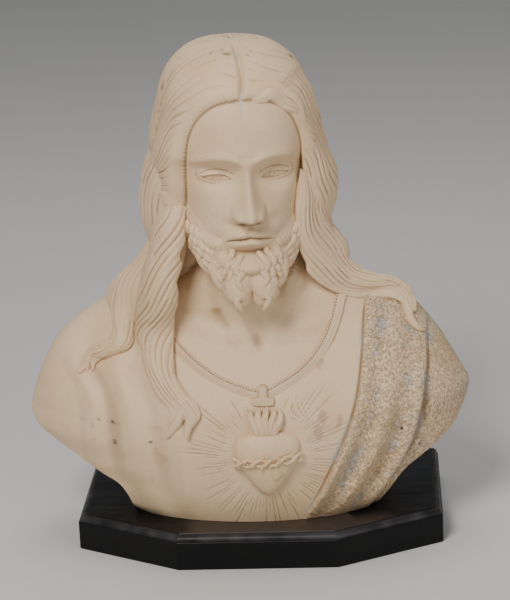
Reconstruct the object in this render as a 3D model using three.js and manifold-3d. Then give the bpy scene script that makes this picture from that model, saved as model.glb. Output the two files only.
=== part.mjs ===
// Bisque bust of a long-haired, bearded man with a flaming heart on the chest, on a black moulded plinth.
// Millimetres, +Z up. The origin is the middle of the plinth's underside, and the front looks along -Y.
import * as THREE from "three";
import { mergeVertices } from "three/addons/utils/BufferGeometryUtils.js";
import Module from "manifold-3d";

const { abs, acos, atan2, cos, exp, floor, max, min, PI, sign, sin, sqrt } = Math;

// Plinth
const plinthWidth = 316;
const plinthDepth = 200;
const plinthFront = 136; // the straight stretch of the front edge
const plinthCant = 50; // how far back each canted corner runs
const plinthFace = 25; // height of the upright face
const plinthHeight = 31;
const beadInset = 7; // how far the moulded edge steps in to the flat top

// Bust
const seatGap = 0.3; // between the plinth's top and the bust
const bustBase = plinthHeight + seatGap;
const mantleThickness = 5;
const tunicFoldDepth = 2.6;
const heartHeight = 58;
const heartWidth = 55;
const heartDepth = 10;
const heartAt = { x: 11, z: 61 }; // the heart's point
const trimWidth = 8; // the stitched band round the neck opening

// Head
const lifeSize = 230; // chin to crown of a grown man, which the face below is set out to
const headHeight = 177;
const scale = headHeight / lifeSize;
const headAt = new THREE.Vector3(-8.5, -8, 343); // between the ears, at the height of the eyes
const headTurn = 10; // degrees towards +X
const headBow = 5; // degrees down

// Fineness of the facets
const torsoColumns = { tunic: 19, mantle: 12, shoulder: 5, back: 13 };
const headColumns = 38;

// Small mathematics
const clamp = (x) => min(max(x, 0), 1);
const bell = (x, centre, spread) => exp(-(((x - centre) / spread) ** 2));
const power = (x, p) => sign(x) * abs(x) ** p;
const degrees = (x) => (x * PI) / 180;

function ease(from, to, x) {
  const t = clamp((x - from) / (to - from));
  return t * t * (3 - 2 * t);
}

// Even steps from `from`, stopping one short of `to`
const spaced = (from, to, count) => Array.from({ length: count }, (_, i) => from + ((to - from) * i) / count);

// A smooth function through [input, value] knots in rising order, level beyond both ends.
function through(...knots) {
  const last = knots.length - 1;
  const slope = knots.map((_, i) => {
    const a = knots[max(i - 1, 0)];
    const b = knots[min(i + 1, last)];
    return (b[1] - a[1]) / (b[0] - a[0]);
  });
  return (x) => {
    if (x <= knots[0][0]) return knots[0][1];
    if (x >= knots[last][0]) return knots[last][1];
    const i = knots.findIndex((k) => k[0] > x) - 1;
    const h = knots[i + 1][0] - knots[i][0];
    const t = (x - knots[i][0]) / h;
    const rise = knots[i + 1][1] - knots[i][1];
    const bend = t * (1 - t) * ((1 - t) * (slope[i] * h - rise) - t * (slope[i + 1] * h - rise));
    return knots[i][1] + t * rise + bend;
  };
}

// Solids
const wasm = await Module();
wasm.setup();

// A closed skin over rings of points: each end is drawn to a pole. It is turned to face outwards.
function skin(rings, firstPole, lastPole) {
  const sides = rings[0].length;
  const points = [firstPole, ...rings.flat(), lastPole];
  const end = points.length - 1;
  const at = (ring, side) => 1 + ring * sides + (side % sides);
  const faces = [];
  for (let s = 0; s < sides; s++) {
    faces.push(0, at(0, s), at(0, s + 1));
    faces.push(end, at(rings.length - 1, s + 1), at(rings.length - 1, s));
    for (let r = 0; r + 1 < rings.length; r++) {
      faces.push(at(r, s), at(r + 1, s), at(r + 1, s + 1));
      faces.push(at(r, s), at(r + 1, s + 1), at(r, s + 1));
    }
  }
  const volume = (list) => {
    let sum = 0;
    for (let i = 0; i < list.length; i += 3) {
      const [a, b, c] = [points[list[i]], points[list[i + 1]], points[list[i + 2]]];
      sum += a.dot(b.clone().cross(c));
    }
    return sum;
  };
  if (volume(faces) < 0) faces.reverse();
  const geometry = new THREE.BufferGeometry().setFromPoints(points);
  geometry.setIndex(faces);
  return geometry;
}

function solid(geometry) {
  const bare = geometry.clone();
  bare.deleteAttribute("normal");
  bare.deleteAttribute("uv");
  const merged = mergeVertices(bare, 1e-4);
  return new wasm.Manifold(
    new wasm.Mesh({
      numProp: 3,
      vertProperties: merged.attributes.position.array,
      triVerts: new Uint32Array(merged.index.array),
    }),
  );
}

// Joins solids into one. Pockets sealed in between the locks are filled, so only the outer skin is kept.
function joined(solids) {
  const whole = solids.reduce((a, b) => a.add(b));
  const skins = whole.decompose();
  skins.sort((a, b) => b.volume() - a.volume());
  const { vertProperties, triVerts } = skins[0].getMesh();
  const geometry = new THREE.BufferGeometry();
  geometry.setAttribute("position", new THREE.BufferAttribute(vertProperties, 3));
  geometry.setIndex(new THREE.BufferAttribute(triVerts, 1));
  geometry.computeVertexNormals();
  return geometry;
}

// Torso: level oval sections, each with its own reach to every side, from the seat up into the neck
const reachLeft = through(
  [31, 108], [51, 115], [63, 125], [82, 157], [98, 184], [107, 195], [118, 199], [138, 194], [160, 184],
  [183, 169], [205, 140], [224, 98], [250, 50],
);
const reachRight = through(
  [31, 100], [46, 110], [68, 127], [93, 164], [108, 176], [127, 184], [140, 179], [156, 170], [179, 156],
  [205, 133], [220, 102], [234, 70], [250, 50],
);
const chestFront = through(
  [31, -71], [60, -83], [95, -89], [125, -86], [150, -75], [170, -60], [185, -48], [205, -40], [250, -38],
);
const backFace = through(
  [31, 50], [60, 60], [95, 68], [130, 72], [165, 70], [195, 60], [220, 46], [250, 34],
);
const sideLine = through([31, -14], [60, -4], [113, 5], [160, 8], [205, 8], [250, 2]);
// How much wider the whole oval is than the reach, so that each arm ends in a flat slanted cut
const beyondCut = through([31, 1.065], [40, 1.2], [57, 1.31], [73, 1.23], [90, 1.098], [107, 1.027], [121, 1.001]);
const frontFullness = through([31, 2], [60, 1.72], [110, 1.75], [150, 2], [250, 2.05]);
const backFullness = 2.2;

// Where the mantle's front edge and its overlapping fold cross each level, as x
const mantleEdge = through([31, 37], [63, 54], [90, 67], [115, 78], [140, 86], [168, 91], [191, 93], [213, 95]);
const mantleFold = through([31, 93], [57, 109], [91, 129], [116, 138], [147, 144], [168, 146], [188, 147]);
const tunicFoldA = through([31, -106], [67, -116], [93, -119], [124, -120], [146, -126], [165, -138]);
const tunicFoldB = through([31, -73], [46, -76], [80, -78], [127, -84], [161, -96], [182, -97]);

const reachTo = (x, z) => (x < 0 ? reachLeft(z) : reachRight(z));

// The turn round a section at which its front crosses x: 0 at -X, half a turn at +X
function turnAt(x, z, fullness = frontFullness(z)) {
  return acos(-power(min(max(x / (reachTo(x, z) * beyondCut(z)), -1), 1), fullness / 2));
}

// Height of the cloth over the plain section, in front, at (x, z)
function drapery(x, z) {
  const edge = mantleEdge(z);
  const fold = mantleFold(z);
  const across = (x - edge) / (fold - edge);
  const deep = 1.4 + 3 * ease(190, 60, z);
  const ridges = deep * cos((2 * PI * (across - 0.07)) / 0.45);
  const layer = ease(0, 0.05, across) * (mantleThickness + ridges * ease(-0.02, 0.1, across)) * ease(20, 75, z);
  const step = ease(1, 1.05, across) * (mantleThickness + ridges - 1.5 * sin(5 * (across - 1)));
  const left = (x - tunicFoldA(z)) / (tunicFoldB(z) - tunicFoldA(z));
  const faded = ease(-1, -0.3, left) * ease(2.1, 1.4, left) * ease(205, 150, z) * ease(25, 65, z);
  return layer - step - faded * tunicFoldDepth * cos(2 * PI * left);
}

function torsoPoint(turn, z) {
  const front = turn <= PI;
  const n = front ? frontFullness(z) : backFullness;
  const whole = reachTo(-cos(turn), z) * beyondCut(z);
  const x = -whole * power(cos(turn), 2 / n);
  const middle = sideLine(z);
  const depth = front ? middle - chestFront(z) : backFace(z) - middle;
  const y = middle + (front ? -1 : 1) * depth * abs(sin(turn)) ** (2 / n);
  return new THREE.Vector3(x, front ? y - drapery(x, z) : y, z);
}

// The front of the torso at (x, z), lifted off it by `lift`
function onChest(x, z, lift = 0) {
  const p = torsoPoint(turnAt(x, z), z);
  return new THREE.Vector3(x, p.y - lift, z);
}

function torso() {
  const levels = [
    bustBase, 40, 51, 64, 78, 93, 107, 119, 133, 148, 162, 176, 188, 199, 208, 217, 226, 237, 250,
  ];
  const rings = levels.map((z) => {
    const first = turnAt(-reachLeft(z), z);
    const last = turnAt(reachRight(z), z);
    const edge = turnAt(mantleEdge(z), z);
    const fold = min(turnAt(mantleFold(z), z), edge + 0.8 * (last - edge));
    const behind = PI - turnAt(reachRight(z), z, backFullness);
    const turns = [
      ...spaced(first, edge, torsoColumns.tunic),
      ...spaced(edge + 0.03, fold, torsoColumns.mantle),
      ...spaced(fold + 0.03, last, torsoColumns.shoulder),
      last,
      ...spaced(PI + behind, 2 * PI - behind, torsoColumns.back),
      2 * PI - behind,
    ];
    return turns.map((turn) => torsoPoint(turn, z));
  });
  return skin(rings, new THREE.Vector3(0, -5, bustBase), new THREE.Vector3(0, 0, 250));
}

// Head and face, set out at life size round the point between the ears: u to +X, v forwards, w up
const crown = 113;
const chin = -115;
const faceFront = through(
  [-115, 62], [-110, 86], [-100, 95], [-85, 92], [-76, 96], [-67, 95], [-60, 96], [-48, 94], [-32, 91],
  [-12, 90], [4, 91], [17, 96], [36, 95], [58, 91], [80, 79], [96, 60], [108, 34], [113, 0],
);
const skullBack = through(
  [-115, 42], [-108, 12], [-90, -30], [-64, -62], [-38, -85], [-12, -100], [20, -106], [52, -103], [80, -94],
  [96, -80], [108, -56], [113, -20],
);
const skullHalf = through(
  [-115, 10], [-110, 28], [-100, 42], [-86, 54], [-68, 62], [-45, 69], [-18, 74], [5, 78], [32, 79], [58, 76],
  [80, 69], [96, 57], [108, 37], [113, 12],
);
const widestAt = through([-115, 54], [-104, 45], [-78, 20], [-45, 8], [0, -5], [60, -8], [113, -8]);
const headFullness = 2.25;
const browLine = (u) => 13 + 9 * sin((PI * min(u, 58)) / 58) ** 0.8;
const noseHeight = through(
  [-56, 0], [-52, 2], [-48, 13], [-44, 24], [-40, 27], [-34, 25.5], [-22, 19.5], [-8, 13], [4, 8], [22, 0],
);
const noseHalf = through([-50, 9], [-44, 11], [-36, 11.5], [-25, 9], [-10, 7.2], [4, 6.2], [15, 7.5]);
const beardEdge = through([0, -84], [12, -84], [24, -76], [32, -66], [45, -58], [55, -46], [64, -30], [72, -10]);
const eye = { u: 31, v: 63.5, w: -1, ball: 15, lid: 16.5, halfOpening: 15 };

// How far the features stand forward of the plain head at (u, w); base is the plain head's own v there
function features(u, w, base) {
  const side = abs(u);
  const brow = browLine(side);
  let v = base;
  v += 3.2 * bell(w, brow, 5.5) * ease(4, 14, side) * ease(64, 48, side);
  v -= 11 * bell(side, eye.u, 19) * bell(w, -1, 13) * ease(brow + 2, brow - 5, w);
  v += 4 * bell(side, 50, 17) * bell(w, -20, 14);
  v -= 3.5 * bell(side, 50, 15) * bell(w, -60, 17);
  v += 4 * bell(side, 0, 26) * bell(w, -64, 17);
  const fromEye = (side - eye.u) ** 2 + (w - eye.w) ** 2;
  if (fromEye < eye.lid ** 2) {
    const across = (side - eye.u) / eye.halfOpening;
    const arch = max(1 - across ** 2, 0);
    const open = ease(-1, 0, -5 + 3 * arch - w) * ease(1, 0, -4 - 5.5 * arch - w);
    const lid = eye.v + sqrt(eye.lid ** 2 - fromEye);
    const ball = eye.v + sqrt(max(eye.ball ** 2 - fromEye, 0));
    v = max(v, lid + (ball - lid) * clamp(open) * (arch > 0 ? 1 : 0));
  }
  const nose = noseHeight(w);
  const half = noseHalf(w);
  v += nose * (0.72 * exp(-((side / half) ** 2.6)) + 0.28 * bell(side, 0, 2.1 * half));
  v += 10 * bell(side, 14, 5) * bell(w, -41, 6.5);
  v += 2.8 * bell(w, -63, 3.4) * ease(25, 10, side);
  v += 3.8 * bell(w, -74, 4.2) * ease(21, 8, side);
  v -= 2.6 * bell(w, -68, 1.8) * ease(26, 20, side);
  v -= 2.8 * bell(side, 0, 18) * bell(w, -84, 5);
  v += 5 * bell(side, 0, 19) * bell(w, -102, 11);
  return v;
}

// How far the hair stands off the skull: nothing inside the face's opening, which is an oval open below
const openingHalf = 62;
const openingTop = 80;
function hairThickness(u, v, w) {
  const side = abs(u);
  const p = 2.6;
  const oval = ((side / openingHalf) ** p + (max(w, 0) / openingTop) ** p) ** (1 / p);
  const rise = v > 0 ? clamp(((oval - 1) * openingHalf) / 9) : 1;
  const full = 8 + 11 * ease(60, -10, w);
  const parted = 1 - 0.65 * bell(side, 0, 4) * ease(-60, -30, v);
  return full * sqrt(1 - (1 - rise) ** 2) * parted * ease(-95, -55, w);
}

function beardThickness(u, w) {
  const side = abs(u);
  return 9 * ease(0, 16, beardEdge(side) - w) * (0.45 + 0.55 * ease(60, 15, side));
}

function headPoint(turn, w) {
  const n = headFullness;
  const half = skullHalf(w);
  const middle = widestAt(w);
  const front = sin(turn) >= 0;
  const depth = front ? faceFront(w) - middle : middle - skullBack(w);
  const u = half * power(cos(turn), 2 / n);
  const v = middle + depth * power(sin(turn), 2 / n);
  const out = new THREE.Vector3(u / 78 ** 2, (v - middle) / 95 ** 2, max(w, 0) / crown ** 2).normalize();
  const point = new THREE.Vector3(u, front ? features(u, w, v) : v, w);
  return point.addScaledVector(out, hairThickness(u, v, w) + (front ? beardThickness(u, w) : 0));
}

const headFrame = new THREE.Matrix4()
  .makeTranslation(headAt.x, headAt.y, headAt.z)
  .multiply(new THREE.Matrix4().makeRotationZ(degrees(headTurn)))
  .multiply(new THREE.Matrix4().makeRotationX(degrees(headBow)))
  .multiply(new THREE.Matrix4().makeScale(scale, scale, scale));

// A point of the head's own frame, at life size, in the bust's frame
const fromHead = (u, v, w) => new THREE.Vector3(u, -v, w).applyMatrix4(headFrame);
const faceForwards = () => fromHead(0, 1, 0).sub(fromHead(0, 0, 0));
const beside = (side, path) => path.map(([u, v, w]) => fromHead(side * u, v, w));

function head() {
  const levels = [
    chin, -109, -101, -92, -84, -78, -73, -68, -63, -57, -50, -44, -38, -29, -19, -10, -5, 1, 7, 13, 20,
    31, 45, 59, 71, 82, 92, 101, 108, 111.5,
  ];
  const rings = levels.map((w) => {
    const ring = [];
    for (let i = 0; i < headColumns; i++) {
      const even = (2 * PI * i) / headColumns;
      const crowded = even + (sin(even) > 0 ? 0.3 : -0.1) * sin(2 * even);
      ring.push(headPoint(crowded, w));
    }
    return ring.map((p) => fromHead(p.x, p.y, p.z));
  });
  return skin(rings, fromHead(0, 50, chin - 1), fromHead(0, -10, crown + 8));
}

// A lock or a rounded cord: an oval section carried along a smooth path, with ridges that wind round it.
// `facing` is the way its flat side looks at a point of the path.
const fromAxis = (p) => new THREE.Vector3(p.x - headAt.x, p.y - 10, 0);
const forwards = () => new THREE.Vector3(0, -1, 0);
const lockSwell = through([0, 0.55], [0.12, 0.85], [0.35, 1], [0.7, 0.9], [0.88, 0.6], [1, 0.18]);

function sweep(shape) {
  const { path, width, depth, swell = lockSwell, facing = fromAxis } = shape;
  const { ridges = 3, relief = 0.1, wind = 0, steps = 9, sides = 9 } = shape;
  const curve = new THREE.CatmullRomCurve3(path, false, "centripetal");
  const rings = [];
  for (let i = 0; i <= steps; i++) {
    const t = i / steps;
    const centre = curve.getPointAt(t);
    const along = curve.getTangentAt(t);
    const out = facing(centre).addScaledVector(along, -facing(centre).dot(along)).normalize();
    const across = along.clone().cross(out);
    const ring = [];
    for (let s = 0; s < sides; s++) {
      const turn = (2 * PI * (s + 0.5)) / sides;
      const r = swell(t) * (1 + relief * cos(ridges * turn + wind * t));
      ring.push(
        centre
          .clone()
          .addScaledVector(across, width * r * cos(turn))
          .addScaledVector(out, depth * r * sin(turn)),
      );
    }
    rings.push(ring);
  }
  const ends = [0, 1].map((t) => {
    const way = t ? 0.5 : -0.5;
    return curve.getPointAt(t).addScaledVector(curve.getTangentAt(t), way * depth * swell(t));
  });
  return skin(rings, ends[0], ends[1]);
}

const points = (...list) => list.map(([x, y, z]) => new THREE.Vector3(x, y, z));
const chestPath = (...list) => list.map(([x, z, lift]) => onChest(x, z, lift));

// Locks: half their width and half their thickness, along the middle of each
const ontoChest = (...list) => list.map(([x, z]) => onChest(x, z, 5));
const temples = [
  {
    path: points(
      [-46, -22, 396], [-55, -16, 374], [-63, -14, 344], [-74, -14, 308], [-78, -15, 283], [-68, -24, 262],
    ),
    width: 22,
    depth: 15,
    wind: 3,
  },
  {
    path: points([30, -30, 398], [41, -26, 373], [49, -22, 346], [59, -18, 316], [60, -18, 293], [50, -24, 272]),
    width: 22,
    depth: 14,
    wind: -3,
  },
  {
    path: points([46, -16, 304], [53, -18, 284], [65, -18, 264], [74, -16, 249], [77, -14, 232]),
    width: 16,
    depth: 12,
    wind: -3,
  },
];
const longLocks = [
  {
    path: points([-58, -30, 322], [-64, -34, 288], [-72, -36, 252], [-84, -28, 215]),
    width: 17,
    depth: 16,
  },
  {
    path: [
      ...points([-49, -47, 366], [-55, -48, 341], [-59, -50, 312], [-66, -54, 279], [-73, -58, 251]),
      ...points([-81, -58, 220]),
      ...ontoChest([-87, 188], [-82, 167], [-69, 150], [-52, 142], [-50, 131]),
    ],
    width: 15,
    depth: 11,
    wind: 8,
    steps: 14,
  },
  {
    path: [
      ...points([-70, 0, 284], [-80, -4, 264], [-94, -8, 244], [-110, -10, 229]),
      ...ontoChest([-116, 213], [-112, 201], [-118, 186], [-134, 178], [-143, 168], [-145, 158]),
    ],
    width: 14,
    depth: 10,
    wind: 3,
    steps: 12,
  },
  {
    path: [
      ...points([44, -46, 352], [46, -46, 324], [48, -44, 292], [54, -36, 261], [68, -26, 240]),
      ...points([88, -20, 227], [107, -14, 223], [124, -12, 218]),
      ...ontoChest([134, 206], [136, 196], [141, 185]),
    ],
    width: 15,
    depth: 11,
    wind: 2,
    steps: 14,
  },
];

// The rolls of hair along the top of the forehead, out from the parting
const fringe = [-1, 1].map((side) => ({
  path: beside(side, [[3, 88, 82], [18, 88, 77], [34, 84, 77], [45, 77, 68], [54, 68, 58], [61, 58, 44]]),
  width: 9,
  depth: 6,
  steps: 6,
  sides: 6,
}));

// The hair behind the face and neck, down to the shoulder blades: oval sections about a leaning middle line
const maneLeft = through(
  [178, -34], [190, -52], [205, -70], [225, -84], [246, -88], [288, -88], [318, -86], [350, -77], [385, -62],
);
const maneRight = through(
  [178, 28], [190, 46], [205, 60], [225, 70], [246, 74], [262, 68], [290, 62], [320, 66], [350, 62], [385, 48],
);
const maneFront = through([178, 40], [190, 20], [205, -16], [225, -28], [246, -24], [300, -20], [350, -12], [385, -10]);
const maneBack = through([178, 70], [190, 74], [205, 73], [225, 68], [250, 68], [285, 77], [320, 84], [350, 84], [385, 70]);
const maneFullness = 2.4;

function mane() {
  const levels = [178, 186, 196, 209, 223, 238, 254, 270, 287, 305, 325, 345, 365, 385];
  const sides = 24;
  const rings = levels.map((z) => {
    const centre = new THREE.Vector3((maneLeft(z) + maneRight(z)) / 2, (maneFront(z) + maneBack(z)) / 2, z);
    const half = (maneRight(z) - maneLeft(z)) / 2;
    const depth = (maneBack(z) - maneFront(z)) / 2;
    const ring = [];
    for (let i = 0; i < sides; i++) {
      const turn = (2 * PI * i) / sides;
      const lock = 1 + 0.045 * cos(6 * turn + 0.9 * sin(z / 17)) * ease(385, 330, z);
      const x = half * lock * power(cos(turn), 2 / maneFullness);
      const y = depth * lock * power(sin(turn), 2 / maneFullness);
      const tip = -7 * (1 + cos(6 * turn + 1)) * ease(232, 178, z);
      ring.push(new THREE.Vector3(x, y, tip).add(centre));
    }
    return ring;
  });
  return skin(rings, new THREE.Vector3(-4, 56, 174), new THREE.Vector3(-8, 28, 392));
}

// Beard: the forked mass below the chin and its curls along the jaw, each a path beside the middle of the face
const curls = [
  { path: [[7, 80, -92], [11, 92, -112], [14, 97, -128], [12, 98, -140], [16, 104, -147]], width: 18, depth: 16 },
  { path: [[28, 74, -86], [29, 82, -104], [26, 86, -120], [18, 92, -132]], width: 15, depth: 12 },
  { path: [[43, 58, -72], [45, 64, -90], [39, 72, -106], [29, 80, -116]], width: 13, depth: 10 },
  { path: [[55, 38, -56], [57, 44, -74], [51, 54, -91], [41, 62, -101]], width: 11, depth: 9 },
];
const beardCurls = [-1, 1].flatMap((side) =>
  curls.map((curl) => ({
    path: beside(side, curl.path),
    width: curl.width * scale,
    depth: curl.depth * scale,
    facing: faceForwards,
    steps: 4,
    sides: 6,
  })),
);

const moustache = [-1, 1].map((side) => ({
  path: beside(side, [[1, 100, -56], [10, 101, -59], [20, 96, -65], [29, 87, -76]]),
  width: 4.4,
  depth: 3,
  facing: faceForwards,
  steps: 4,
  sides: 5,
}));

// Neck, with the two cords that meet at its pit
const neck = {
  path: points([0, 12, 188], [-2, 6, 220], [-5, 2, 255], [-7, 2, 300]),
  width: 46,
  depth: 50,
  swell: through([0, 1.08], [0.25, 0.98], [0.6, 0.94], [1, 1]),
  facing: forwards,
  relief: 0,
  steps: 4,
  sides: 20,
};
const neckCords = [-1, 1].map((side) => ({
  path: points([5 + side * 9, -40, 180], [3 + side * 20, -40, 206], [side * 34, -30, 236], [side * 44, -12, 266]),
  width: 7,
  depth: 7,
  swell: through([0, 0.7], [0.5, 1], [1, 1]),
  facing: forwards,
  relief: 0,
  steps: 4,
  sides: 6,
}));

// The stitched band round the neck opening, from one lock to the other
const neckTrim = {
  path: chestPath(
    [-74, 196], [-65, 183], [-53, 173], [-32, 160], [-10, 152], [8, 148], [27, 155], [45, 165], [61, 181],
    [70, 199], [75, 216], [78, 226],
  ),
  width: trimWidth / sqrt(2),
  depth: 3,
  swell: () => 1,
  facing: forwards,
  relief: 0,
  steps: 18,
  sides: 4,
};

// Heart: rings that shrink from its outline up to the middle of its face. `up` is the height over its point.
const heartHalf = through(
  [0, 0.07], [3, 0.24], [8, 0.4], [16, 0.6], [25, 0.78], [34, 0.95], [42, 1], [49, 0.98], [55, 0.8], [58, 0.44],
);

function heart() {
  const outline = [];
  const rungs = 10;
  for (let i = 0; i <= rungs; i++) {
    const up = heartHeight * sin((PI / 2) * (i / rungs)) ** 1.1;
    outline.push([(heartWidth / 2) * heartHalf(up), up]);
  }
  const loop = [...outline.slice(1), ...outline.map(([half, up]) => [-half, up]).reverse().slice(1)];
  const centre = heartHeight * 0.58;
  const steps = [[-0.6, 1], [0.4, 1], [0.72, 0.86], [0.93, 0.5]];
  const rings = steps.map(([rise, shrink]) => {
    return loop.map(([half, up]) => {
      const x = heartAt.x + half * shrink;
      const z = heartAt.z + centre + (up - centre) * shrink;
      return onChest(x, z, heartDepth * rise);
    });
  });
  const middle = heartAt.z + centre;
  return skin(rings, onChest(heartAt.x, middle, -0.6 * heartDepth), onChest(heartAt.x, middle, heartDepth));
}

// The two twisted stems of thorns across the heart
const thornStems = [0, PI].map((phase) => {
  const path = [];
  for (let i = 0; i <= 20; i++) {
    const s = i / 10 - 1;
    const wave = 2.6 * PI * s + phase;
    const lift = heartDepth * sqrt(1 - 0.9 * s * s) + 1 + 1.2 * cos(wave);
    path.push(onChest(heartAt.x + 29 * s, heartAt.z + 35 + 1.5 * s + 3 * sin(wave), lift));
  }
  return { path, width: 1.9, depth: 1.9, swell: () => 1, facing: forwards, relief: 0, steps: 16, sides: 4 };
});

// Flames on top of the heart, and the cross in them
const flames = [-2, -1, 0, 1, 2].map((i) => ({
  path: chestPath(
    [heartAt.x + 2.5 * i, heartAt.z + 55, 3], [heartAt.x + 5 * i, heartAt.z + 63, 4],
    [heartAt.x + 5.8 * i, heartAt.z + 71, 3.5], [heartAt.x + 6.3 * i, heartAt.z + 79 - abs(i), 2],
  ),
  width: 3.4,
  depth: 3.4,
  facing: forwards,
  relief: 0,
  steps: 4,
  sides: 5,
}));

function bar(width, height, x, z) {
  const thick = 9;
  const face = 4;
  const box = new THREE.BoxGeometry(width, thick, height);
  const seat = onChest(x, z, face);
  return box.translate(x, seat.y + thick / 2, z);
}
const cross = [bar(6.6, 20, 9, 146), bar(18, 6, 9, 143.5)];

// Plinth: the plan, shrunk evenly inwards for each step of the moulded edge
const plan = [
  [-plinthWidth / 2, plinthDepth / 2],
  [-plinthWidth / 2, plinthCant - plinthDepth / 2],
  [-plinthFront / 2, -plinthDepth / 2],
  [plinthFront / 2, -plinthDepth / 2],
  [plinthWidth / 2, plinthCant - plinthDepth / 2],
  [plinthWidth / 2, plinthDepth / 2],
].map(([x, y]) => new THREE.Vector2(x, y));

function shrunk(inset) {
  return plan.map((corner, i) => {
    const before = plan[(i + plan.length - 1) % plan.length];
    const after = plan[(i + 1) % plan.length];
    const a = corner.clone().sub(before).normalize();
    const b = after.clone().sub(corner).normalize();
    const inwards = new THREE.Vector2(-a.y - b.y, a.x + b.x);
    return corner.clone().addScaledVector(inwards, inset / (1 + a.dot(b)));
  });
}

function plinth() {
  const beadRadius = plinthHeight - plinthFace - 1;
  const steps = [[1, 0], [0, 1], [0, plinthFace], [1, plinthFace + 0.4]];
  for (let i = 1; i <= 5; i++) {
    const turn = (PI / 2) * (i / 5);
    steps.push([1 + beadRadius * (1 - cos(turn)), plinthFace + 0.4 + beadRadius * sin(turn)]);
  }
  steps.push([beadInset, plinthHeight - 1], [beadInset + 0.4, plinthHeight]);
  const rings = steps.map(([inset, z]) => shrunk(inset).map((p) => new THREE.Vector3(p.x, p.y, z)));
  return skin(rings, new THREE.Vector3(0, 0, 0), new THREE.Vector3(0, 0, plinthHeight));
}

// The two pieces
const bisque = new THREE.MeshStandardMaterial({ color: 0xd9c4a0, roughness: 0.75, metalness: 0 });
const blackPaint = new THREE.MeshStandardMaterial({ color: 0x0b0b0c, roughness: 0.4, metalness: 0 });

const swept = [
  ...temples, ...longLocks, ...fringe, ...beardCurls, ...moustache, neck, ...neckCords, neckTrim,
  ...thornStems, ...flames,
];
const bustSolids = [torso(), head(), mane(), heart(), ...cross, ...swept.map(sweep)].map(solid);

const bust = new THREE.Mesh(joined(bustSolids), bisque);
bust.name = "bust";
const base = new THREE.Mesh(plinth(), blackPaint);
base.name = "plinth";

const figure = new THREE.Group();
figure.add(bust, base);
export default figure;
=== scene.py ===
# Bisque bust of a long-haired, bearded man with a flaming heart on the chest, on a black moulded plinth
from math import pi, radians

import bpy
import numpy as np
from mathutils import Matrix, Vector


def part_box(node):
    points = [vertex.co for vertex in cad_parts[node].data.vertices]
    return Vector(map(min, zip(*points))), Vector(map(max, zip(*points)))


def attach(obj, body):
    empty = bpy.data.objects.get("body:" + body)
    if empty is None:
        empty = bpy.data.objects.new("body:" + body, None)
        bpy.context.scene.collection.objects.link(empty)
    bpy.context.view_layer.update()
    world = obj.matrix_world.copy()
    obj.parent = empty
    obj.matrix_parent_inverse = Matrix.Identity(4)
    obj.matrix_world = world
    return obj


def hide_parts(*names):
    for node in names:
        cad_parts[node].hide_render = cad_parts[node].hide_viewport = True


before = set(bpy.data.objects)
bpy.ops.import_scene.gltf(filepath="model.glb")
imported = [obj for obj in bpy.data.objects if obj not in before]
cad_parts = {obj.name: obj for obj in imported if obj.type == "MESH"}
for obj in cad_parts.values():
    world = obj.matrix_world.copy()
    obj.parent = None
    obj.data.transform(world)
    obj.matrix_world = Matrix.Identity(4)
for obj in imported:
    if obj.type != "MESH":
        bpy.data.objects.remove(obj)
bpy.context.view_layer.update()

mm = 0.001                              # the shapes below are worked out in millimetres
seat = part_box("bust")[0].z / mm         # the bust's flat underside
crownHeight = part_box("bust")[1].z / mm
print("frame loaded, bust from", round(seat, 1), "to", round(crownHeight, 1), "mm")


# Camera, where the photograph was taken from
shot = {
    "place": Vector((0.1104, -1.8065, 0.7725)),
    "target": Vector((0.00093, 0.00006, 0.20743)),
    "roll": -0.0434,
    "lens": 132,
}


def placeCamera():
    camera = bpy.data.objects.new("camera", bpy.data.cameras.new("camera"))
    bpy.context.collection.objects.link(camera)
    camera.data.lens = shot["lens"]
    camera.location = shot["place"]
    aim = (shot["target"] - shot["place"]).to_track_quat("-Z", "Y").to_matrix().to_4x4()
    camera.rotation_euler = (aim @ Matrix.Rotation(shot["roll"], 4, "Z")).to_euler()
    bpy.context.scene.camera = camera


# Floor and light: a large soft key from the upper left, a weak fill, pale surroundings
studio = {
    "floorSize": 12.0,
    "floorColor": (0.62, 0.61, 0.59, 1),
    "airColor": (0.78, 0.80, 0.84, 1),
    "airStrength": 0.28,
    "lamps": [
        {"name": "key", "at": (-0.75, -1.9, 2.1), "size": 0.9, "power": 62, "tint": (1.0, 0.97, 0.93)},
        {"name": "fill", "at": (1.7, -1.9, 1.0), "size": 1.4, "power": 16, "tint": (1.0, 0.98, 0.96)},
        {"name": "top", "at": (0.1, 0.5, 1.9), "size": 1.0, "power": 9, "tint": (1.0, 1.0, 1.0)},
    ],
}


def placeStudio():
    floor = bpy.data.objects.new("floor", bpy.data.meshes.new("floor"))
    half = studio["floorSize"] / 2
    corners = [(-half, -half, 0), (half, -half, 0), (half, half, 0), (-half, half, 0)]
    floor.data.from_pydata(corners, [], [(0, 1, 2, 3)])
    bpy.context.collection.objects.link(floor)
    look, shader = newMaterial("paleFloor")
    shader.inputs["Base Color"].default_value = studio["floorColor"]
    shader.inputs["Roughness"].default_value = 0.9
    floor.data.materials.append(look)
    world = bpy.data.worlds.new("studio")
    world.use_nodes = True
    air = world.node_tree.nodes["Background"]
    air.inputs["Color"].default_value = studio["airColor"]
    air.inputs["Strength"].default_value = studio["airStrength"]
    bpy.context.scene.world = world
    for lamp in studio["lamps"]:
        light = bpy.data.lights.new(lamp["name"], "AREA")
        light.size = lamp["size"]
        light.energy = lamp["power"]
        light.color = lamp["tint"]
        holder = bpy.data.objects.new(lamp["name"], light)
        bpy.context.collection.objects.link(holder)
        holder.location = lamp["at"]
        away = Vector((0, 0, 0.22)) - Vector(lamp["at"])
        holder.rotation_euler = away.to_track_quat("-Z", "Y").to_euler()


# Materials
def newMaterial(name):
    look = bpy.data.materials.new(name)
    look.use_nodes = True
    return look, look.node_tree.nodes["Principled BSDF"]


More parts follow.
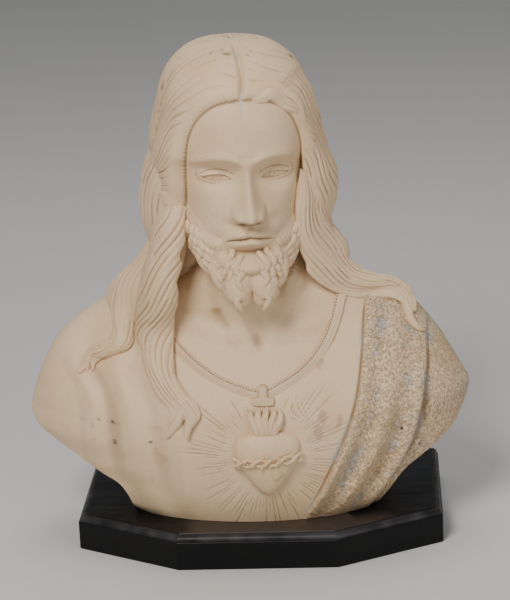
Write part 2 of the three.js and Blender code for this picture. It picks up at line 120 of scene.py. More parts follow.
# Node helpers: each makes one node, sets its values and joins its inputs
def addNode(look, kind, values=None, links=None, **settings):
    node = look.node_tree.nodes.new(kind)
    for key, value in settings.items():
        setattr(node, key, value)
    for key, value in (values or {}).items():
        node.inputs[key].default_value = value
    for key, source in (links or {}).items():
        look.node_tree.links.new(source, node.inputs[key])
    return node


def addRamp(look, source, stops):
    ramp = addNode(look, "ShaderNodeValToRGB", links={"Fac": source})
    while len(ramp.color_ramp.elements) < len(stops):
        ramp.color_ramp.elements.new(0.5)
    for element, (place, color) in zip(ramp.color_ramp.elements, stops):
        element.position = place
        element.color = color if isinstance(color, tuple) else (color, color, color, 1)
    return ramp.outputs["Color"]


def mixColor(look, amount, first, second, blend="MIX"):
    mix = addNode(look, "ShaderNodeMix", data_type="RGBA", blend_type=blend)
    for socket, value in ((mix.inputs[0], amount), (mix.inputs[6], first), (mix.inputs[7], second)):
        if hasattr(value, "is_linked"):
            look.node_tree.links.new(value, socket)
        else:
            socket.default_value = value
    return mix.outputs[2]


def attribute(look, name):
    return addNode(look, "ShaderNodeAttribute", attribute_name=name).outputs["Fac"]


bisqueFinish = {
    "cream": (0.760, 0.570, 0.360, 1),
    "honey": (0.680, 0.470, 0.260, 1),      # where more of the warm wash stayed
    "shadeOchre": (0.250, 0.135, 0.050, 1),      # painted shade in the hollows and pits
    "residue": (0.420, 0.440, 0.430, 1),    # blue-grey dust in the deepest lines
    "stain": (0.360, 0.205, 0.130, 1),
    "soot": (0.035, 0.040, 0.035, 1),       # painted shade inside the pinholes and along the stitch dashes
    "blush": (0.640, 0.330, 0.260, 1),
    "roughness": 0.58,
}


# Unglazed casting: a cream body with a warm uneven wash, dustier in its hollows, with painted shade darkening its
# hollows, pits and holes
def bisqueMaterial():
    finish = bisqueFinish
    look, shader = newMaterial("bisque")
    place = addNode(look, "ShaderNodeTexCoord").outputs["Object"]
    cloud = addNode(look, "ShaderNodeTexNoise", {"Scale": 16, "Detail": 4, "Roughness": 0.6}, {"Vector": place})
    speck = addNode(look, "ShaderNodeTexNoise", {"Scale": 520, "Detail": 2}, {"Vector": place})
    dusting = addNode(look, "ShaderNodeTexNoise", {"Scale": 45, "Detail": 5, "Roughness": 0.7}, {"Vector": place})
    pitted = addNode(look, "ShaderNodeTexNoise", {"Scale": 480, "Detail": 4, "Distortion": 1.2}, {"Vector": place})
    shade = addRamp(look, cloud.outputs["Fac"], [(0.38, 0), (0.66, 0.75)])
    body = mixColor(look, shade, finish["cream"], finish["honey"])
    mottle = addRamp(look, speck.outputs["Fac"], [(0.3, 0.93), (0.7, 1.0)])
    body = mixColor(look, 1.0, body, mottle, "MULTIPLY")
    # painted shade: ochre darkening where the surface lies below its neighbours
    hollowShade = attribute(look, "hollowShade")
    body = mixColor(look, addRamp(look, hollowShade, [(0.06, 0), (0.75, 0.8)]), body, finish["shadeOchre"])
    dust = addRamp(look, dusting.outputs["Fac"], [(0.47, 0), (0.62, 1)])
    dusty = addNode(
        look, "ShaderNodeMath", links={0: dust, 1: attribute(look, "residue")}, operation="MULTIPLY"
    )
    body = mixColor(look, dusty.outputs[0], body, finish["residue"])
    # painted shade in the small pits of the coarse cloth, darker where the bump sinks
    holes = addRamp(look, pitted.outputs["Fac"], [(0.34, 1), (0.47, 0)])
    pits = addNode(look, "ShaderNodeMath", links={0: holes, 1: attribute(look, "coarse")}, operation="MULTIPLY")
    body = mixColor(look, addRamp(look, pits.outputs[0], [(0, 0), (1, 0.6)]), body, finish["shadeOchre"])
    body = mixColor(look, attribute(look, "stain"), body, finish["stain"])
    body = mixColor(look, attribute(look, "blush"), body, finish["blush"])
    # painted shade, near black, inside the pinholes and along the stitch dashes
    body = mixColor(look, attribute(look, "soot"), body, finish["soot"])
    look.node_tree.links.new(body, shader.inputs["Base Color"])
    sheen = addRamp(look, cloud.outputs["Fac"], [(0.3, 0.62), (0.7, 0.5)])
    look.node_tree.links.new(sheen, shader.inputs["Roughness"])
    grit = addNode(look, "ShaderNodeTexNoise", {"Scale": 900, "Detail": 3}, {"Vector": place})
    coarse = addNode(
        look, "ShaderNodeMath",
        links={0: addRamp(look, pitted.outputs["Fac"], [(0.36, 0), (0.52, 1)]), 1: attribute(look, "coarse")},
        operation="MULTIPLY",
    )
    fine = addNode(look, "ShaderNodeBump", {"Strength": 0.12, "Distance": 0.0002}, {"Height": grit.outputs["Fac"]})
    worn = addNode(
        look, "ShaderNodeBump", {"Strength": 0.9, "Distance": 0.0009},
        {"Height": coarse.outputs[0], "Normal": fine.outputs["Normal"]},
    )
    look.node_tree.links.new(worn.outputs["Normal"], shader.inputs["Normal"])
    return look


# Black satin paint: brushed unevenness, dust on the flat top, a worn, lighter bead and a painted brownish sheen on the
# front of the top
def paintMaterial():
    look, shader = newMaterial("blackPaint")
    place = addNode(look, "ShaderNodeTexCoord").outputs["Object"]
    brushed = addNode(
        look, "ShaderNodeMapping", {"Scale": (1, 6, 6)}, {"Vector": place}
    ).outputs["Vector"]
    streak = addNode(look, "ShaderNodeTexNoise", {"Scale": 30, "Detail": 5, "Roughness": 0.65}, {"Vector": brushed})
    dust = addNode(look, "ShaderNodeTexNoise", {"Scale": 900, "Detail": 2, "Roughness": 0.5}, {"Vector": place})
    drift = addNode(look, "ShaderNodeTexNoise", {"Scale": 26, "Detail": 3}, {"Vector": place})
    specks = addRamp(look, dust.outputs["Fac"], [(0.66, 0), (0.74, 1)])
    where = addRamp(look, drift.outputs["Fac"], [(0.42, 0), (0.62, 1)])
    spread = addNode(look, "ShaderNodeMath", links={0: specks, 1: where}, operation="MULTIPLY")
    dusty = addNode(
        look, "ShaderNodeMath", links={0: spread.outputs[0], 1: attribute(look, "dust")}, operation="MULTIPLY"
    )
    shader.inputs["Specular IOR Level"].default_value = 0.22
    body = mixColor(look, attribute(look, "worn"), (0.0025, 0.0025, 0.003, 1), (0.045, 0.043, 0.045, 1))
    # painted sheen: brownish on the front of the top
    body = mixColor(look, attribute(look, "brown"), body, (0.060, 0.044, 0.036, 1))
    body = mixColor(look, dusty.outputs[0], body, (0.30, 0.29, 0.27, 1))
    look.node_tree.links.new(body, shader.inputs["Base Color"])
    gloss = addRamp(look, streak.outputs["Fac"], [(0.3, 0.30), (0.7, 0.5)])
    look.node_tree.links.new(gloss, shader.inputs["Roughness"])
    brush = addNode(
        look, "ShaderNodeBump", {"Strength": 0.25, "Distance": 0.0003}, {"Height": streak.outputs["Fac"]}
    )
    look.node_tree.links.new(brush.outputs["Normal"], shader.inputs["Normal"])
    return look


# Small mathematics, all on whole arrays
def bell(x, centre, spread):
    return np.exp(-(((x - centre) / spread) ** 2))


def power(x, p):
    return np.sign(x) * np.abs(x) ** p


# 0 at `start`, 1 at `stop`, rising as 3t^2 - 2t^3 in between
def ease(start, stop, x):
    t = np.clip((x - start) / (stop - start), 0, 1)
    return t * t * (3 - 2 * t)


# A smooth function through [input, value] knots in rising order, level beyond both ends
def through(*knots):
    inputs, values = np.array(knots, float).T
    last = len(inputs) - 1
    before = np.maximum(np.arange(last + 1) - 1, 0)
    after = np.minimum(np.arange(last + 1) + 1, last)
    slopes = (values[after] - values[before]) / (inputs[after] - inputs[before])

    def curve(x):
        x = np.asarray(x, float)
        i = np.clip(np.searchsorted(inputs, x, side="right") - 1, 0, last - 1)
        h = inputs[i + 1] - inputs[i]
        t = np.clip((x - inputs[i]) / h, 0, 1)
        rise = values[i + 1] - values[i]
        bend = t * (1 - t) * ((1 - t) * (slopes[i] * h - rise) - t * (slopes[i + 1] * h - rise))
        return values[i] + t * rise + bend

    return curve


# Smooth noise from -1 to 1: a pseudo-random number at each whole place, eased in between along x, y and z
def noise(x, y, z, seed=0):
    x, y, z = np.broadcast_arrays(x, y, z)
    cell = np.stack([np.floor(x), np.floor(y), np.floor(z)])
    part = np.stack([x, y, z]) - cell
    part = part * part * (3 - 2 * part)
    total = 0
    for corner in np.ndindex(2, 2, 2):
        weight = 1
        for axis in range(3):
            weight = weight * (part[axis] if corner[axis] else 1 - part[axis])
        a, b, c = (cell[axis] + corner[axis] for axis in range(3))
        mixed = np.sin(a * 127.1 + b * 311.7 + c * 74.7 + seed * 19.19) * 43758.5453
        total = total + weight * (mixed - np.floor(mixed))
    return 2 * total - 1


def layered(x, y, z, seed=0):
    return (noise(x, y, z, seed) + 0.5 * noise(2 * x, 2 * y, 2 * z, seed + 1) + 0.25 * noise(4 * x, 4 * y, 4 * z, seed + 2)) / 1.4


# Hair strokes: `phase` counts the strands across and `along` runs with them in mm. Each line between two strands is a
# narrow groove that comes and goes along its run, over a shallow rounding of the strands themselves.
def strokes(phase, along, seed=0, length=16, narrow=0.2):
    line = np.floor(phase + 0.5)
    off = phase - line
    there = ease(-0.35, 0.3, noise(line * 3.7, along / length, 0 * line, seed))
    deeper = 0.65 + 0.35 * noise(line * 5.3, along / (3 * length), 0 * line + 9, seed)
    return -np.exp(-((off / narrow) ** 2)) * there * deeper - 0.3 * (1 - np.abs(2 * off)) ** 2


# Meshes
# A closed shell: a grid of points, rows by columns, that closes round its columns and runs to a pole past each end row.
# `marks` are values for the material, one for each point of the grid.
def shell(grid, firstPole, lastPole, **marks):
    rows, columns = grid.shape[:2]
    points = np.vstack([[firstPole], grid.reshape(-1, 3), [lastPole]])
    here = 1 + np.arange((rows - 1) * columns).reshape(rows - 1, columns)
    beside = np.roll(here, -1, axis=1)
    quads = np.stack([here, here + columns, beside + columns, beside], axis=-1).reshape(-1, 4)
    ring = 1 + np.arange(columns)
    following = np.roll(ring, -1)
    pole = np.zeros(columns, int)
    end = (rows - 1) * columns
    caps = np.vstack([
        np.stack([pole, ring, following], axis=-1),
        np.stack([pole + len(points) - 1, following + end, ring + end], axis=-1),
    ])
    a, b, c, d = (points[quads[:, i]] for i in range(4))
    volume = np.sum(a * np.cross(b, c)) + np.sum(a * np.cross(c, d))
    if volume < 0:
        quads = quads[:, ::-1]
        caps = caps[:, ::-1]
    values = {}
    for name, value in marks.items():
        flat = np.broadcast_to(value, (rows, columns)).reshape(-1)
        values[name] = np.concatenate([[flat[0]], flat, [flat[-1]]])
    return {"points": points, "quads": quads, "caps": caps, "marks": values, "hollowShade": hollows(grid)}


# How far each point lies below the mean of its neighbours, in mm, from 0 on ridges and plain stretches up; this sets
# the painted shade in the hollows
def hollows(grid, reach=3):
    mean = grid
    for _ in range(reach):
        padded = np.concatenate([mean[:1], mean, mean[-1:]])
        mean = (padded[:-2] + padded[2:] + np.roll(mean, 1, axis=1) + np.roll(mean, -1, axis=1)) / 4
    down = np.gradient(grid, axis=0)
    across = (np.roll(grid, -1, axis=1) - np.roll(grid, 1, axis=1)) / 2
    normal = np.cross(down, across)
    normal /= np.maximum(np.linalg.norm(normal, axis=-1, keepdims=True), 1e-9)
    middle = grid.mean(axis=(0, 1))
    outward = np.sign(np.sum(normal * (grid - middle), axis=-1).sum())
    sunk = np.sum((mean - grid) * normal, axis=-1) * outward
    flat = sunk.reshape(-1)
    return np.concatenate([[0], flat, [0]])


markNames = ("hollowShade", "residue", "stain", "blush", "soot", "coarse")


# One object from several shells, written into the mesh in whole arrays
def makePiece(name, shells, look, node, names=markNames, sharp=None):
    starts = np.cumsum([0] + [len(s["points"]) for s in shells])
    points = np.vstack([s["points"] for s in shells]) * mm
    quads = np.vstack([s["quads"] + start for s, start in zip(shells, starts)])
    caps = np.vstack([s["caps"] + start for s, start in zip(shells, starts)])
    mesh = bpy.data.meshes.new(name)
    mesh.vertices.add(len(points))
    mesh.vertices.foreach_set("co", points.astype(np.float32).ravel())
    mesh.loops.add(quads.size + caps.size)
    mesh.loops.foreach_set("vertex_index", np.concatenate([quads.ravel(), caps.ravel()]).astype(np.int32))
    mesh.polygons.add(len(quads) + len(caps))
    firsts = np.concatenate([np.arange(len(quads)) * 4, quads.size + np.arange(len(caps)) * 3])
    mesh.polygons.foreach_set("loop_start", firsts.astype(np.int32))
    mesh.update(calc_edges=True)
    mesh.shade_smooth()
    if sharp:
        mesh.set_sharp_from_angle(angle=radians(sharp))
    for mark in names:
        # painted shade in the hollows, from how far each point lies below its neighbours
        if mark == "hollowShade":
            value = np.concatenate([np.clip(s["hollowShade"] * 2.2, 0, 1) for s in shells])
        else:
            value = np.concatenate([s["marks"].get(mark, np.zeros(len(s["points"]))) for s in shells])
        mesh.attributes.new(mark, "FLOAT", "POINT").data.foreach_set("value", value.astype(np.float32))
    mesh.materials.append(look)
    piece = bpy.data.objects.new(name, mesh)
    bpy.context.collection.objects.link(piece)
    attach(piece, "root")
    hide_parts(node)
    print(name, "has", 2 * len(quads) + len(caps), "triangles")
    return piece


# Even points along a smooth curve through `points`, with the curve's direction at each
def alongPath(points, count):
    points = np.array(points, float)
    points = np.vstack([2 * points[0] - points[1], points, 2 * points[-1] - points[-2]])
    gaps = np.sqrt(np.linalg.norm(np.diff(points, axis=0), axis=1))[:, None]
    pace = np.diff(points, axis=0) / gaps
    slopes = pace[:-1] + pace[1:] - (points[2:] - points[:-2]) / (gaps[:-1] + gaps[1:])
    points, gaps = points[1:-1], gaps[1:-1, 0]
    fine = np.linspace(0, len(gaps), 60 * len(gaps) + 1)
    i = np.minimum(fine.astype(int), len(gaps) - 1)
    t = (fine - i)[:, None]
    h = gaps[i][:, None]
    rise = points[i + 1] - points[i]
    bend = t * (1 - t) * ((1 - t) * (slopes[i] * h - rise) - t * (slopes[i + 1] * h - rise))
    dense = points[i] + t * rise + bend
    travelled = np.concatenate([[0], np.cumsum(np.linalg.norm(np.diff(dense, axis=0), axis=1))])
    even = np.linspace(0, travelled[-1], count)
    centre = np.stack([np.interp(even, travelled, dense[:, k]) for k in range(3)], axis=1)
    along = np.gradient(centre, axis=0)
    return centre, along / np.linalg.norm(along, axis=1, keepdims=True), travelled[-1]


lockSwell = through([0, 0.5], [0.12, 0.85], [0.35, 1], [0.7, 0.9], [0.88, 0.6], [0.96, 0.32], [1, 0.1])
headAxis = np.array([-8.5, 10, 0])


def fromAxis(centre):
    return (centre - headAxis) * (1, 1, 0)


def forwards(centre):
    return np.broadcast_to((0.0, -1.0, 0.0), centre.shape)


# A lock: an oval carried along a smooth path, its flat side facing `facing`. Its skin is moved outwards by a few broad
# lobes that wind round it and by the strokes of its strands. `wind` is in turns of the pattern over the whole length.
def lock(path, width, depth, swell=lockSwell, facing=fromAxis, lobes=3, lobeDeep=1.2, strands=9, deep=0.9,
         wind=0.0, sway=0.0, waves=2.0, steps=110, sides=56, seed=1, **marks):
    centre, along, length = alongPath(path, steps)
    t = np.linspace(0, 1, steps)
    out = facing(centre)
    out = out - along * np.sum(out * along, axis=1, keepdims=True)
    out /= np.linalg.norm(out, axis=1, keepdims=True)
    across = np.cross(along, out)
    taper = np.minimum(swell(t), 1)
    centre = centre + across * (sway * np.sin(2 * pi * waves * t + seed) * ease(0, 0.2, t))[:, None]
    turn = (2 * pi * (np.arange(sides) + 0.5) / sides)[None, :]
    winding = wind(t)[:, None] if callable(wind) else (wind * t)[:, None]
    size = swell(t)[:, None]
    wander = 0.35 * noise(np.cos(turn) * 1.3, np.sin(turn) * 1.3, (t * length / 22)[:, None], seed)
    relief = 0
    if lobes:
        relief = lobeDeep * np.cos(lobes * turn + 2 * pi * lobes * (winding / max(strands, 1) + 0.35 * wander))
    if strands:
        relief = relief + deep * strokes(strands * turn / (2 * pi) + winding + 1.6 * wander, (t * length)[:, None], seed)
    relief = relief * taper[:, None]
    a, b = width * size, depth * size
    nx, ny = np.cos(turn) / a, np.sin(turn) / b
    scale = np.sqrt(nx ** 2 + ny ** 2)
    x = a * np.cos(turn) + relief * nx / scale
    y = b * np.sin(turn) + relief * ny / scale
    grid = centre[:, None] + across[:, None] * x[..., None] + out[:, None] * y[..., None]
    ends = [centre[i] + along[i] * way * depth * swell(t[i]) for i, way in ((0, -0.5), (-1, 0.5))]
    return shell(grid, ends[0], ends[1], **marks)


# A tress: a smooth sheet over `guides`, three lines from its first edge to its other one, swollen like half an oval in
# front and closed behind. Its strands cross it from the first edge to the other as `wind` says, and weave a little.
def tress(guides, puff=5.0, behind=9.0, strands=9, deep=1.2, lumps=1.3, wind=0.0, weave=0.35, waves=2.5,
          steps=170, sides=104, seed=1, tip=1.0, root=0.12, **marks):
    lines = np.stack([alongPath(guide, steps)[0] for guide in guides])
    length = alongPath(guides[1], steps)[2]
    t = np.linspace(0, 1, steps)[:, None]
    q = np.linspace(1, -1, int(sides * 0.75))
    ahead = np.arccos(0.35 * np.sin(pi / 2 * q) + 0.65 * q)
    hidden = sides - len(ahead)
    turn = np.concatenate([ahead, pi + pi * np.arange(1, hidden + 1) / (hidden + 1)])[None, :]
    bulge = np.sin(turn)
    ragged = 1 + 0.10 * noise(t * length / 11, np.sign(np.cos(turn)), 0 * turn, seed + 3) * ease(0, 0.1, t)
    s = 0.5 - 0.5 * np.cos(turn) * ragged
    weights = [(2 * s - 1) * (s - 1), 4 * s * (1 - s), s * (2 * s - 1)]
    leans = [4 * s - 3, 4 - 8 * s, 4 * s - 1]
    sheet = sum(w[..., None] * line[:, None] for w, line in zip(weights, lines))
    acrossSheet = sum(w[..., None] * line[:, None] for w, line in zip(leans, lines))
    normal = np.cross(acrossSheet, np.gradient(sheet, axis=0))
    normal /= np.maximum(np.linalg.norm(normal, axis=-1, keepdims=True), 1e-9)
    away = np.sum(normal * ((sheet - headAxis) * (1, 1, 0) + (0, -30, 0)), axis=-1)
    normal *= np.sign(away.mean())
    thick = ease(0, root, t) * ease(1.02, tip, t) if tip < 1 else ease(0, root, t) * (1 - ease(0.8, 1.0, t) * 0.75)
    winding = wind(t) if callable(wind) else wind * t
    twist = weave * np.sin(2 * pi * waves * t + 2.5 * s + seed)
    phase = strands * s + winding + twist + 0.5 * noise(s * 3, t * length / 30, 0 * s, seed)
    swell = lumps * noise(phase / 2.3, t * length / 60, 0 * s, seed + 1)
    relief = (deep * strokes(phase, t * length + 0 * s, seed, 20, 0.2) + swell) * np.maximum(bulge, 0) ** 0.6
    height = np.where(bulge > 0, puff * np.abs(bulge) ** 1.1, -behind * np.abs(bulge) ** 0.8) * thick + relief * thick
    grid = sheet + normal * height[..., None]
    ends = [grid[0].mean(axis=0), grid[-1].mean(axis=0) + (lines[1][-1] - lines[1][-2])]
    return shell(grid, ends[0], ends[1], **marks)


# Torso
reachLeft = through(
    [31, 108], [51, 115], [63, 125], [82, 157], [98, 184], [107, 195], [118, 199], [138, 194], [160, 184],
    [183, 169], [205, 140], [224, 98], [250, 50], [266, 45], [310, 45],
)
reachRight = through(
    [31, 100], [46, 110], [68, 127], [93, 164], [108, 176], [127, 184], [140, 179], [156, 170], [179, 156],
    [205, 133], [220, 102], [234, 70], [250, 50], [266, 44], [310, 44],
)
chestFront = through(
    [31, -71], [60, -83], [95, -89], [125, -86], [150, -75], [170, -60], [185, -49], [205, -42], [250, -43],
    [310, -44],
)
backFace = through([31, 50], [60, 60], [95, 68], [130, 72], [165, 70], [195, 60], [220, 46], [250, 38], [310, 44])
sideLine = through([31, -14], [60, -4], [113, 5], [160, 8], [205, 8], [250, 2])
beyondCut = through(
    [31, 1.065], [40, 1.2], [57, 1.31], [73, 1.23], [90, 1.098], [107, 1.027], [121, 1.001]
)
frontFullness = through([31, 2], [60, 1.72], [110, 1.75], [150, 2], [250, 2.05])
mantleEdge = through([31, 37], [63, 54], [90, 67], [115, 78], [140, 86], [168, 91], [191, 93], [213, 95])
mantleFold = through([31, 93], [57, 109], [91, 129], [116, 138], [147, 144], [168, 146], [188, 147])
tunicFoldA = through([31, -106], [67, -116], [93, -119], [124, -120], [146, -126], [165, -138])
tunicFoldB = through([31, -73], [46, -76], [80, -78], [127, -84], [161, -96], [182, -97])
trimLine = through(
    [-78, 206], [-74, 196], [-65, 183], [-53, 173], [-32, 160], [-10, 152], [8, 148], [27, 155], [45, 165],
    [61, 181], [70, 199], [75, 216], [78, 226],
)
neckCord = through([180, 9], [206, 20], [236, 34], [266, 44])

torso = {
    "backFullness": 2.2,
    "mantleThickness": 5.0,
    "tunicFoldDepth": 2.6,
    "skinStep": 1.4,                    # how far the skin lies below the neck band
    "columns": {"arm": 74, "chest": 150, "mantle": 78, "shoulder": 34, "back": 60},
    "rows": {"low": (None, 52, 14), "heart": (52, 150, 128), "neckline": (150, 240, 78), "neck": (240, 305, 24)},
    "roughness": 0.45,                  # of the mantle's coarse cloth
    "rays": {"count": 104, "deep": 0.6, "centre": (11, 96), "reach": 84},
}


def reachTo(x, z):
    return np.where(x < 0, reachLeft(z), reachRight(z))


# The turn round a section at which its front crosses x: acos of -(x / whole)^(n/2)
def turnAt(x, z, fullness=None):
    n = frontFullness(z) if fullness is None else fullness
    return np.arccos(-power(np.clip(x / (reachTo(x, z) * beyondCut(z)), -1, 1), n / 2))


# Height of the cloth over the plain section, in front, at (x, z)
def drapery(x, z):
    edge = mantleEdge(z)
    fold = mantleFold(z)
    across = (x - edge) / (fold - edge)
    deepness = 1.4 + 3 * ease(190, 60, z)
    ridges = deepness * np.cos(2 * pi * (across - 0.07) / 0.45)
    thick = torso["mantleThickness"]
    layer = ease(0, 0.05, across) * (thick + ridges * ease(-0.02, 0.1, across)) * ease(20, 75, z)
    step = ease(1, 1.05, across) * (thick + ridges - 1.5 * np.sin(5 * (across - 1)))
    left = (x - tunicFoldA(z)) / (tunicFoldB(z) - tunicFoldA(z))
    faded = ease(-1, -0.3, left) * ease(2.1, 1.4, left) * ease(205, 150, z) * ease(25, 65, z)
    return layer - step - faded * torso["tunicFoldDepth"] * np.cos(2 * pi * left)


# The front's y at (x, z) without fine relief: an oval's front, less the cloth, melted into the round of the neck
def front(x, z):
    n = frontFullness(z)
    whole = reachTo(x, z) * beyondCut(z)
    middle = sideLine(z)
    oval = np.maximum(1 - np.abs(np.clip(x / whole, -1, 1)) ** n, 0) ** (1 / n)
    y = middle - (middle - chestFront(z)) * oval - drapery(x, z)
    neckMiddle = 8 - 8 * ease(190, 260, z)
    neckHalf = 46 - 3 * ease(190, 240, z)
    neckY = neckMiddle - 51 * np.sqrt(np.maximum(1 - ((x + 3) / neckHalf) ** 2, 0))
    soft = 9.0
    blend = np.clip(0.5 + 0.5 * (y - neckY) / soft, 0, 1)
    melted = y + (neckY - y) * blend - soft * blend * (1 - blend)
    near = (np.abs(x + 3) < neckHalf) * ease(165, 195, z)
    return y + (melted - y) * near * ease(1.0, 0.8, np.abs(x + 3) / neckHalf)


def onChest(x, z, lift=0.0):
    x, z, lift = np.broadcast_arrays(np.asarray(x, float), np.asarray(z, float), np.asarray(lift, float))
    return np.stack([x, front(x, z) - lift, z], axis=-1)


# Fine relief of the front: body under the skin, the band's step, the rays round the heart and the mantle's coarse cloth
def fineRelief(x, z):
    side = np.abs(x - 4)
    cords = 2.2 * bell(side, neckCord(z), 7) * ease(176, 192, z) * ease(280, 255, z)
    pit = -2.6 * bell(x, 4, 7) * bell(z, 184, 8) + 1.2 * bell(x, 2, 9) * bell(z, 226, 14)
    collar = z - (186 + 0.24 * side)
    bones = (1.3 * bell(collar, 0, 6.5) - 0.7 * bell(collar, 13, 9)) * ease(8, 22, side) * ease(85, 60, side)
    skin = (cords + pit + bones) * ease(0, 5, z - trimLine(x))
    skin = skin - torso["skinStep"] * ease(-2, 1, z - trimLine(x)) * (np.abs(x) < 80)
    rays = torso["rays"]
    dx, dz = x - rays["centre"][0], z - rays["centre"][1]
    angle = np.arctan2(dz, dx) / (2 * pi) * rays["count"]
    off = np.hypot(dx, dz * 0.9)
    which = np.floor(angle + 0.5)
    reach = rays["reach"] * (0.72 + 0.3 * noise(which * 7.7, 0 * which, 0 * which, 5))
    reach = reach * (1 - 0.35 * ease(20, 70, dz) * ease(30, 10, np.abs(dx)))
    starts = 33 + 5 * noise(which * 3.1, 0 * which, 4 + 0 * which, 6)
    width = 0.2 + 0.08 * noise(which * 1.9, 0 * which, 8 + 0 * which, 7)
    cut = np.exp(-(((angle - which) / width) ** 2)) * ease(starts, starts + 8, off) * ease(reach, reach - 18, off)
    onCloth = (x < mantleEdge(z) - 2) * ease(0, -6, z - trimLine(x) + 8)
    coarse = ease(-0.5, 2.5, x - mantleEdge(z)) * ease(262, 240, z)
    cloth = 0.9 * layered(x / 6, 0 * x, z / 8, 11) + 0.9 * layered(x / 2.4, 0 * x, z / 2.8, 12)
    wear = 0.35 * noise(x / 34, 0 * x, z / 30, 13)
    return skin - rays["deep"] * cut * onCloth + torso["roughness"] * cloth * coarse + wear, coarse, cut * onCloth


def torsoShell():
    levels = []
    for start, stop, count in torso["rows"].values():
        start = seat if start is None else start
        levels.append(start + (stop - start) * np.arange(count) / count)
    z = np.concatenate(levels + [[305.0]])[:, None]
    first = turnAt(-reachLeft(z), z)
    last = turnAt(reachRight(z), z)
    edge = np.minimum(turnAt(mantleEdge(z), z), last - 0.06)
    fold = np.minimum(turnAt(mantleFold(z), z), edge + 0.8 * (last - edge))
    arm = first + np.minimum(turnAt(-50 + 0 * z, z) - first, 0.45 * (edge - first))
    behind = pi - turnAt(reachRight(z), z, torso["backFullness"])
    count = torso["columns"]
    stops = [
        (first, arm, "arm"), (arm, edge, "chest"), (edge, fold, "mantle"), (fold, last, "shoulder"),
        (pi + behind, 2 * pi - behind, "back"),
    ]
    turns = []
    for start, stop, name in stops:
        steps = np.arange(count[name]) / count[name]
        turns.append(start + (stop - start) * steps)
        if name == "shoulder":
            turns.append(last)
    turn = np.concatenate(turns + [2 * pi - behind], axis=1)
    inFront = turn <= pi + 1e-9
    n = np.where(inFront, frontFullness(z), torso["backFullness"])
    x = -reachTo(-np.cos(turn), z) * beyondCut(z) * power(np.cos(turn), 2 / n)
    x = np.clip(x, -reachLeft(z), reachRight(z))
    z = np.broadcast_to(z, x.shape)
    relief, coarse, cut = fineRelief(x, z)
    middle = sideLine(z)
    plainBack = middle + (backFace(z) - middle) * np.abs(np.sin(turn)) ** (2 / n)
    folds = 2.2 * np.cos(x / 15 + 1.2 * np.sin(z / 50)) * ease(-20, 40, x) * ease(230, 190, z)
    backCoarse = ease(-26, -20, x - 0.25 * (z - 130)) * ease(245, 232, z)
    sides = ease(0, 14, np.minimum(x + reachLeft(z), reachRight(z) - x))
    cloth = backCoarse * (2.4 + folds + torso["roughness"] * layered(x / 9, 0 * x, z / 9, 14))
    y = np.where(inFront, front(x, z) - relief * ease(-1, 3, x + reachLeft(z)), plainBack + cloth * sides)
    grid = np.stack([x, y, z], axis=-1)
    marks = {"coarse": np.where(inFront, coarse, backCoarse)}
    marks["residue"] = np.where(inFront, torsoResidue(x, z, cut), 0.4 * backCoarse)
    marks["stain"] = np.where(inFront, spots(x, z, stains), 0)
    # painted shade inside the pinholes
    marks["soot"] = np.where(inFront, spots(x, z, pinholes), 0)
    return shell(grid, (0, -5, seat), (0, 0, 306), **marks)


# Blotches given by the middle's x and z and their half width and half height, in mm, and how strong they are
stains = [(56, 170, 4.6, 6.0, 0.55), (58, 128, 3.2, 7.5, 0.5), (54, 116, 3.5, 7.0, 0.45), (72, 123, 2.5, 5.5, 0.5)]
pinholes = [
    (-120, 103, 1.0, 2.4, 1), (-121, 121, 0.9, 1.3, 1), (-88, 107, 0.9, 1.4, 1), (-84, 101, 0.7, 0.8, 0.8),
    (-133, 123, 0.7, 1.6, 0.7), (-139, 117, 0.6, 2.0, 0.7), (124, 109, 1.2, 1.5, 1), (139, 90, 0.8, 1.2, 1),
    (-114, 92, 0.7, 0.8, 0.6), (-138, 105, 0.6, 0.7, 0.6),
]


def spots(x, z, places):
    total = 0
    for atX, atZ, halfWide, halfHigh, strength in places:
        ragged = 1 + 0.35 * noise(x / 2.6, 0 * x, z / 2.6, 21)
        off = np.hypot((x - atX) / halfWide, (z - atZ) / halfHigh) * ragged
        total = total + strength * ease(1.15, 0.8, off)
    return np.clip(total, 0, 1)


# Blue-grey dust: in the valleys of the mantle, along its two edges and in the rays
def torsoResidue(x, z, cut):
    across = (x - mantleEdge(z)) / (mantleFold(z) - mantleEdge(z))
    valleys = ease(0.2, -0.9, np.cos(2 * pi * (across - 0.07) / 0.45)) * ease(0, 0.05, across) * ease(1.02, 1, across)
    lines = bell(x, mantleEdge(z) - 1, 2.2) + bell(x, mantleFold(z) + 3, 5) + 0.7 * ease(1.4, 1.8, across)
    return np.clip(0.8 * valleys + 0.75 * lines + 0.35 * cut, 0, 1) * ease(240, 215, z)


# Head, set out at life size round the point between the ears: u to +X, v forwards, w up
headFrame = {"scale": 177 / 230, "at": (-8.5, -8, 343), "turn": 10, "bow": 5}
crown = 113
faceFront = through(
    [-115, 62], [-110, 86], [-100, 95], [-85, 92], [-76, 96], [-67, 95], [-60, 96], [-48, 94], [-32, 91],
    [-12, 90], [4, 91], [17, 96], [36, 95], [58, 91], [80, 79], [96, 60], [108, 34], [113, 0],
)
skullBack = through(
    [-115, 42], [-108, 12], [-90, -30], [-64, -62], [-38, -85], [-12, -100], [20, -106], [52, -103], [80, -94],
    [96, -80], [108, -56], [113, -20],
)
skullHalf = through(
    [-115, 10], [-110, 28], [-100, 42], [-86, 54], [-68, 62], [-45, 69], [-18, 74], [5, 78], [32, 79], [58, 76],
    [80, 69], [96, 57], [108, 37], [113, 12],
)
widestAt = through([-115, 54], [-104, 45], [-78, 20], [-45, 8], [0, -5], [60, -8], [113, -8])
noseHeight = through(
    [-56, 0], [-52, 2], [-48, 13], [-44, 24], [-40, 27], [-34, 25.5], [-22, 19.5], [-8, 13], [4, 8], [22, 0]
)
